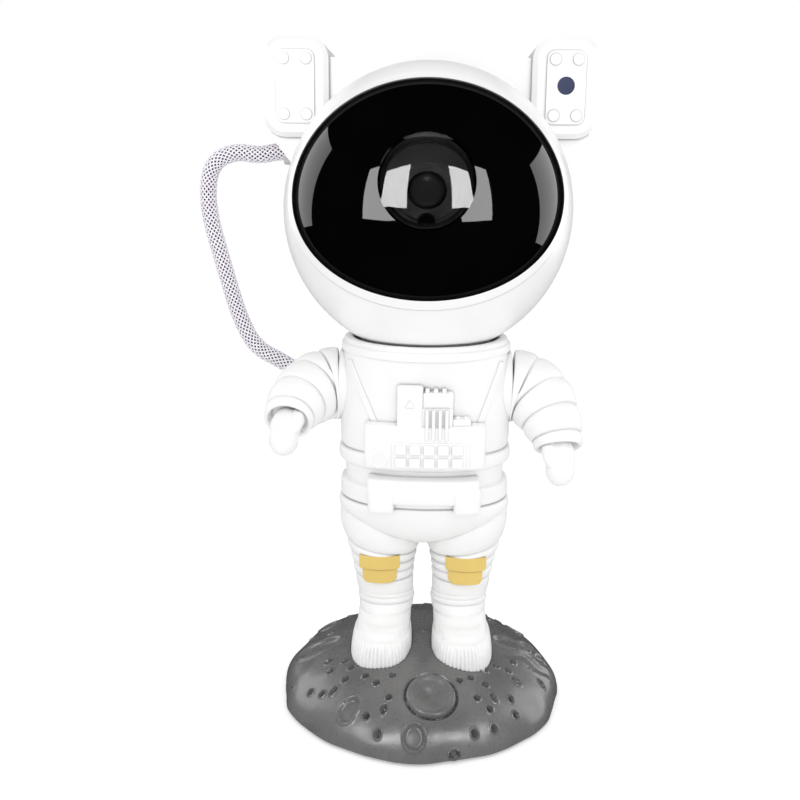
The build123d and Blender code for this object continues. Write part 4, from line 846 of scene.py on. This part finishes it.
dress_pair(make_leg(), "padded_leg_right", "white_figure", "leg_left", "leg_right")
upper_patch = make_patch("knee_patch_upper", 50.2, 55.0, 12.7, radians(34.5), 0.8)
lower_patch = make_patch("knee_patch_lower", 45.1, 50.0, 12.1, radians(29.5), 2.0)
left_patch = join([upper_patch, lower_patch], "knee_patch_left")
dress_pair(left_patch, "knee_patch_right", "patch_gold", "knee_patches", "knee_patches")
dress_pair(make_boot(), "moulded_boot_right", "white_figure", "boot_left", "boot_right")


# ------------------------------------------------------------------ torso, collar and chest box
crease_depth, crease_width = 0.9, 0.5
boss_radius, boss_length, boss_middle, boss_edge = 12.3, 12.0, 22.9, 0.8
collar_oval, lip_oval = 0.93, 0.985
chest_bow, chest_middle = 0.0048, 0.7  # how the chest curves back on each side of its middle
key_width, key_height, key_step, key_rise = 3.7, 3.3, 4.55, 4.3
strap_width, strap_thickness = 1.9, 1.1


def squareness(z):
    """Exponent of the torso's section: 2 is an ellipse, and more is squarer."""
    steps = ((60.0, 2.0), (75.0, 2.2), (95.0, 2.5), (105.0, 2.9), (120.0, 2.9), (125.0, 2.3), (128.0, 2.1))
    for (low, before), (high, after) in zip(steps, steps[1:]):
        if z < high:
            return before + (after - before) * max(0.0, z - low) / (high - low)
    return steps[-1][1]


def make_torso():
    """Body shell from the rounded hips up through the belt, waist and rib band to the neck."""
    # height, half width and half depth
    skin = (
        (58.6, 2.5, 3.0), (59.2, 8.0, 8.5), (60.4, 14.0, 12.0), (62.2, 19.2, 14.8), (64.4, 23.6, 17.0),
        (67.2, 27.3, 18.8), (70.0, 29.3, 19.9), (72.2, 29.8, 20.5), (74.2, 29.5, 20.5), (74.9, 28.8, 20.2),
        (75.2, 27.4, 19.3), (75.5, 28.7, 20.4), (76.2, 29.1, 20.9), (79.0, 28.9, 20.8), (81.0, 28.8, 20.7),
        (81.4, 28.5, 20.4), (81.7, 27.0, 19.2), (82.4, 27.1, 19.4), (85.4, 27.2, 19.7), (87.8, 27.3, 19.9),
        (88.3, 27.2, 19.8), (88.6, 28.7, 21.1), (89.2, 29.3, 21.6), (91.0, 29.5, 21.8), (92.8, 29.3, 21.5),
        (93.4, 28.8, 21.0), (93.7, 27.4, 20.0), (94.0, 28.6, 20.8), (97.0, 28.9, 20.9), (102.0, 28.7, 20.7),
        (107.0, 28.3, 20.7), (112.0, 27.9, 21.0), (117.0, 27.5, 21.9), (121.0, 27.4, 23.0),
        (124.5, 27.5, 24.5), (126.5, 27.6, 25.2), (126.7, 26.8, 24.6), (126.4, 25.8, 23.8),
        (124.2, 24.9, 22.8),
    )
    segments = 128
    torso = stack("body_shell", [level(*row) for row in skin], segments)
    for vertex in torso.data.vertices:
        z, width, depth = skin[vertex.index // segments]
        power = squareness(z)
        across, along = abs(vertex.co.x / (width * mm)), abs(vertex.co.y / (depth * mm))
        swell = (across**power + along**power) ** (-1 / power)
        vertex.co.x *= swell
        vertex.co.y *= swell
    modify(torso, "SUBSURF", levels=2, render_levels=2)
    # two creases run down each hip towards the middle
    normals = [vertex.normal.copy() for vertex in torso.data.vertices]
    for vertex, normal in zip(torso.data.vertices, normals):
        x, z = abs(vertex.co.x / mm), vertex.co.z / mm
        for low, high in ((60.3, 70.5), (58.5, 66.0)):
            gap = z - low - (high - low) * (max(0.0, x - 3.0) / 24.0) ** 1.25
            fade = min(1.0, max(0.0, (x - 2.0) / 4.0))
            vertex.co -= normal * crease_depth * fade * exp(-((gap / crease_width) ** 2)) * mm
    close(torso)
    smooth(torso, 50)
    return torso


def add_shoulder_bosses(torso):
    """Round pads on the body's sides that the sleeves turn against."""
    made = [torso]
    for side in (-1, 1):
        clear()
        bpy.ops.mesh.primitive_cylinder_add(
            vertices=96, radius=boss_radius * mm, depth=boss_length * mm,
            location=(side * boss_middle * mm, 0, shoulder_z * mm), rotation=(0, pi / 2, 0),
        )
        boss = take(f"shoulder_boss_{side}")
        modify(boss, "BEVEL", width=boss_edge * mm, segments=3, limit_method="ANGLE")
        made.append(boss)
    torso = join(made, "body_shell")
    smooth(torso, 50)
    return torso


def make_ring(name, levels, segments):
    """Closed ring whose section runs through the levels and back to the first."""
    ring = stack(name, levels, segments)
    modify(ring, "SUBSURF", levels=1, render_levels=1)
    edit(ring, "EDGE")
    choose(ring, "EDGE", lambda edge: edge.is_boundary)
    bpy.ops.mesh.bridge_edge_loops()
    outward(ring)
    smooth(ring, 40)
    return ring


def make_collar():
    """Stepped neck ring, a little wider than deep."""
    rings = (
        (126.4, 25.0), (125.95, 25.6), (125.9, 27.2), (125.95, 28.2), (126.3, 28.45), (127.0, 28.5),
        (128.3, 28.45), (128.7, 28.2), (128.85, 27.8), (128.95, 27.6), (129.4, 27.55), (129.9, 27.5),
        (130.3, 27.3), (130.55, 26.8),
    )
    lip = ((130.65, 25.6), (130.6, 24.7), (130.3, 24.3), (129.6, 24.2), (128.6, 24.4), (127.5, 24.9))
    levels = [level(z, r, r * collar_oval) for z, r in rings] + [level(z, r, r * lip_oval) for z, r in lip]
    return make_ring("neck_collar", levels, 160)


def make_friction_ring():
    """Ball seat that the head turns on."""
    # angle from straight down and distance from the head's centre
    section = (
        (20.0, 47.7), (20.0, 48.4), (20.4, 48.75), (23.5, 48.8), (26.5, 48.75), (26.9, 48.4), (26.9, 47.7),
        (26.5, 47.35), (23.5, 47.3), (20.4, 47.35),
    )
    levels = []
    for angle, radius in section:
        turn = radians(angle)
        levels.append(level(helmet_z - radius * cos(turn), radius * sin(turn)))
    return make_ring("friction_ring", levels, 160)


def plate(name, left, right, low, high, front, depth=6.0, bevel=0.5):
    """Block that follows the curve of the chest, from its sides, ends and front; a wide one is sliced."""
    centre = ((left + right) / 2, front + depth / 2, (low + high) / 2)
    slices = 15 if right - left > 10 else 0
    piece = block(name, centre, (right - left, depth, high - low), bevel, slices)
    for vertex in piece.data.vertices:
        vertex.co.y += chest_bow * (vertex.co.x / mm - chest_middle) ** 2 * mm
    return piece


def make_chest_box():
    """Control box with its tower, key pad, dial and tubes."""
    made = [
        plate("box", -19.3, 19.9, 90.4, 105.1, -25.6, 9.0, 1.1),
        plate("tower_stem", -8.8, 9.2, 99.0, 111.2, -25.0, 8.0, 0.8),
        plate("tower_left", -8.8, -0.4, 103.0, 118.0, -25.4, 6.5, 0.9),
        plate("tower_right", -0.6, 9.2, 110.8, 116.0, -25.1, 6.5, 0.7),
        plate("side_step", 9.0, 15.0, 103.1, 107.3, -24.6, 6.5, 0.6),
        plate("key_frame", -10.4, 13.7, 90.8, 99.7, -26.0, 2.0, 0.6),
        plate("right_pad", 14.8, 19.2, 91.1, 99.0, -25.8, 1.0, 0.3),
        plate("tower_label", 0.4, 8.2, 111.5, 115.0, -25.35, 1.0, 0.3),
    ]
    for column in range(5):
        for row in range(2):
            x, z = 1.7 + (column - 2) * key_step, 95.2 + (row - 0.5) * key_rise
            left, low = x - key_width / 2, z - key_height / 2
            made.append(plate("key", left, x + key_width / 2, low, z + key_height / 2, -26.6, 2.0, 0.45))
    for step in range(4):
        x = 0.9 + 2.1 * step
        made.append(plate("tube_ridge", x - 0.55, x + 0.55, 100.4, 110.6, -26.1, 1.5, 0.4))
    for step in range(3):
        x = 0.9 + 2.7 * step
        made.append(plate("stud", x - 0.7, x + 0.7, 114.6, 117.1, -24.6, 2.5, 0.35))
    for step in range(2):
        x = 10.8 + 2.6 * step
        made.append(plate("small_stud", x - 0.6, x + 0.6, 106.5, 108.0, -24.2, 1.6, 0.3))
    clear()
    bpy.ops.mesh.primitive_torus_add(
        major_radius=2.5 * mm, minor_radius=0.28 * mm, major_segments=48, minor_segments=12,
        location=(-14.5 * mm, -26.5 * mm, 94.4 * mm), rotation=(pi / 2, 0, 0),
    )
    made.append(take("dial_ring"))
    clear()
    bpy.ops.mesh.primitive_cone_add(
        vertices=3, radius1=1.9 * mm, radius2=1.5 * mm, depth=0.5 * mm,
        location=(-4.6 * mm, -25.5 * mm, 112.0 * mm), rotation=(pi / 2, 0, 0),
    )
    mark = take("tower_mark")
    modify(mark, "BEVEL", width=0.12 * mm, segments=2)
    made.append(mark)
    chest = join(made, "chest_box")
    smooth(chest, 40)
    return chest


def make_pouch():
    """Belt pouch with a lobe at each end."""
    made = [
        plate("pouch", -18.5, 18.4, 77.8, 86.4, -24.6, 7.0, 1.1),
        plate("lobe_left", -18.2, -9.6, 74.5, 84.0, -25.0, 6.0, 1.4),
        plate("lobe_right", 10.0, 18.9, 74.5, 84.0, -25.0, 6.0, 1.4),
    ]
    pouch = join(made, "belt_pouch")
    smooth(pouch, 40)
    return pouch


def make_harness(side, top, foot):
    """Raised strap from below the collar down to the box's corner, wrapped on the chest."""
    clear()
    bpy.ops.mesh.primitive_grid_add(x_subdivisions=6, y_subdivisions=60, size=mm)
    strap = bpy.context.active_object
    run = Vector(top) - Vector(foot)
    strap.scale = (strap_width, run.length, 1)
    bpy.ops.object.transform_apply(location=True, rotation=True, scale=True)
    strap.location = Vector(((top[0] + foot[0]) / 2, -45, (top[2] + foot[2]) / 2)) * mm
    strap.rotation_euler = (pi / 2, atan2(run.x, run.z), 0)
    strap = take(f"harness_strap_{side}")
    modify(
        strap, "SHRINKWRAP", target=body_shell, wrap_method="PROJECT", use_project_y=True,
        use_positive_direction=True, use_negative_direction=False, offset=0.0,
    )
    modify(strap, "SOLIDIFY", thickness=strap_thickness * mm, offset=0.0)
    outward(strap)
    modify(strap, "BEVEL", width=0.25 * mm, segments=2, limit_method="ANGLE", angle_limit=radians(60))
    smooth(strap, 50)
    return strap


body_shell = make_torso()
left_strap = make_harness(-1, (-24.7, 0, 124.1), (-16.0, 0, 104.4))
right_strap = make_harness(1, (24.9, 0, 124.1), (18.0, 0, 104.8))
straps = join([left_strap, right_strap], "harness_straps")
body_shell = add_shoulder_bosses(body_shell)
chest_box = make_chest_box()
belt_pouch = make_pouch()
white_figure = finishes["white_figure"]
dress(body_shell, "stand", "white_figure", white_figure, "torso_front", "torso_back")
for piece in (chest_box, belt_pouch, straps):
    dress(piece, "stand", "white_figure", white_figure, "torso_front")
dress(make_collar(), "stand", "white_figure", white_figure, "collar")
dress(make_friction_ring(), "neck_ring", "silicone", finishes["silicone"], "neck_ring")


# ------------------------------------------------------------------ arms and hands
def arm_point(side, raised, out, back, up):
    """Point of an arm, given from the shoulder for an arm that isn't raised."""
    place = Matrix.Rotation(radians(-raised), 4, "X") @ Vector((out, back, up))
    return Vector((side * (shoulder_x + place.x), place.y, shoulder_z + place.z))


def make_arm(side, raised, word):
    """Bellows sleeve laid along the arm's own curve."""
    clear()
    # out, back and up from the shoulder
    route = (
        (0, 0, 0), (4.6, -0.2, -0.4), (9.3, -3.0, -3.4), (12.8, -8.6, -8.8), (14.8, -12.8, -14.2),
        (15.4, -16.2, -19.4), (15.7, -19.6, -24.4),
    )
    spots = [arm_point(side, raised, *spot) for spot in route]
    bend = lay_spline(f"arm line {word}", spots, 24)
    # distance along the arm and radius; the folds are rounded swellings between tight dips
    skin = (
        (0.0, 11.4), (0.1, 12.3), (2.2, 12.5), (4.2, 12.3), (4.9, 11.9), (5.2, 11.0), (5.5, 11.8),
        (7.2, 12.2), (9.8, 11.9), (10.8, 11.4), (11.2, 10.5), (11.6, 11.2), (13.4, 11.6), (16.0, 11.0),
        (18.0, 10.4), (18.8, 9.9), (19.1, 9.0), (19.4, 9.7), (21.0, 10.1), (23.6, 9.5), (25.8, 8.7),
        (26.4, 8.3), (26.7, 7.5), (27.0, 8.2), (27.8, 8.4), (29.4, 8.1), (30.2, 7.7), (30.4, 7.1),
        (29.8, 6.3), (27.4, 5.9),
    )
    sleeve = stack(f"bellows_sleeve_{word}", [level(s, r) for s, r in skin], 96)
    modify(sleeve, "SUBSURF", levels=1, render_levels=1)
    modify(sleeve, "CURVE", object=bend, deform_axis="POS_Z")
    bpy.data.objects.remove(bend)
    close(sleeve)
    smooth(sleeve, 60)
    return sleeve


def turned_egg(name, centre, along, width, length, flat):
    """Rounded lump with its long axis along a direction."""
    clear()
    bpy.ops.mesh.primitive_uv_sphere_add(segments=48, ring_count=32, radius=mm)
    egg = bpy.context.active_object
    egg.scale = (width, flat, length)
    bpy.ops.object.transform_apply(location=True, rotation=True, scale=True)
    egg.rotation_euler = Vector(along).to_track_quat("Z", "X").to_euler()
    egg.location = Vector(centre) * mm
    return take(name)


def make_hand(side, raised, word):
    """Mitten with a thumb, rounded over where the fingers curl."""
    turn = Matrix.Rotation(radians(-raised), 4, "X")

    def lump(label, place, along, width, length, flat):
        direction = turn @ Vector(along)
        direction.x *= side
        return turned_egg(label, arm_point(side, raised, *place), direction, width, length, flat)

    made = [
        lump("palm", (15.5, -16.8, -20.2), (0.0, -0.4, -0.92), 5.1, 7.2, 5.0),
        lump("fingers", (15.6, -18.4, -24.4), (0.0, -0.2, -0.98), 5.0, 5.2, 4.8),
        lump("thumb", (11.8, -18.8, -18.2), (0.06, -0.5, -0.86), 2.5, 5.2, 2.5),
    ]
    hand = join(made, f"mitten_{word}")
    modify(hand, "REMESH", mode="VOXEL", voxel_size=0.4 * mm)
    modify(hand, "SMOOTH", factor=0.5, iterations=12)
    outward(hand)
    smooth(hand, 60)
    return hand


for side, raised, word in ((-1, left_arm_raised, "left"), (1, right_arm_raised, "right")):
    dress(make_arm(side, raised, word), f"arm_{word}", "white_figure", white_figure, f"sleeve_{word}")
    dress(make_hand(side, raised, word), f"arm_{word}", "white_figure", white_figure, f"hand_{word}")
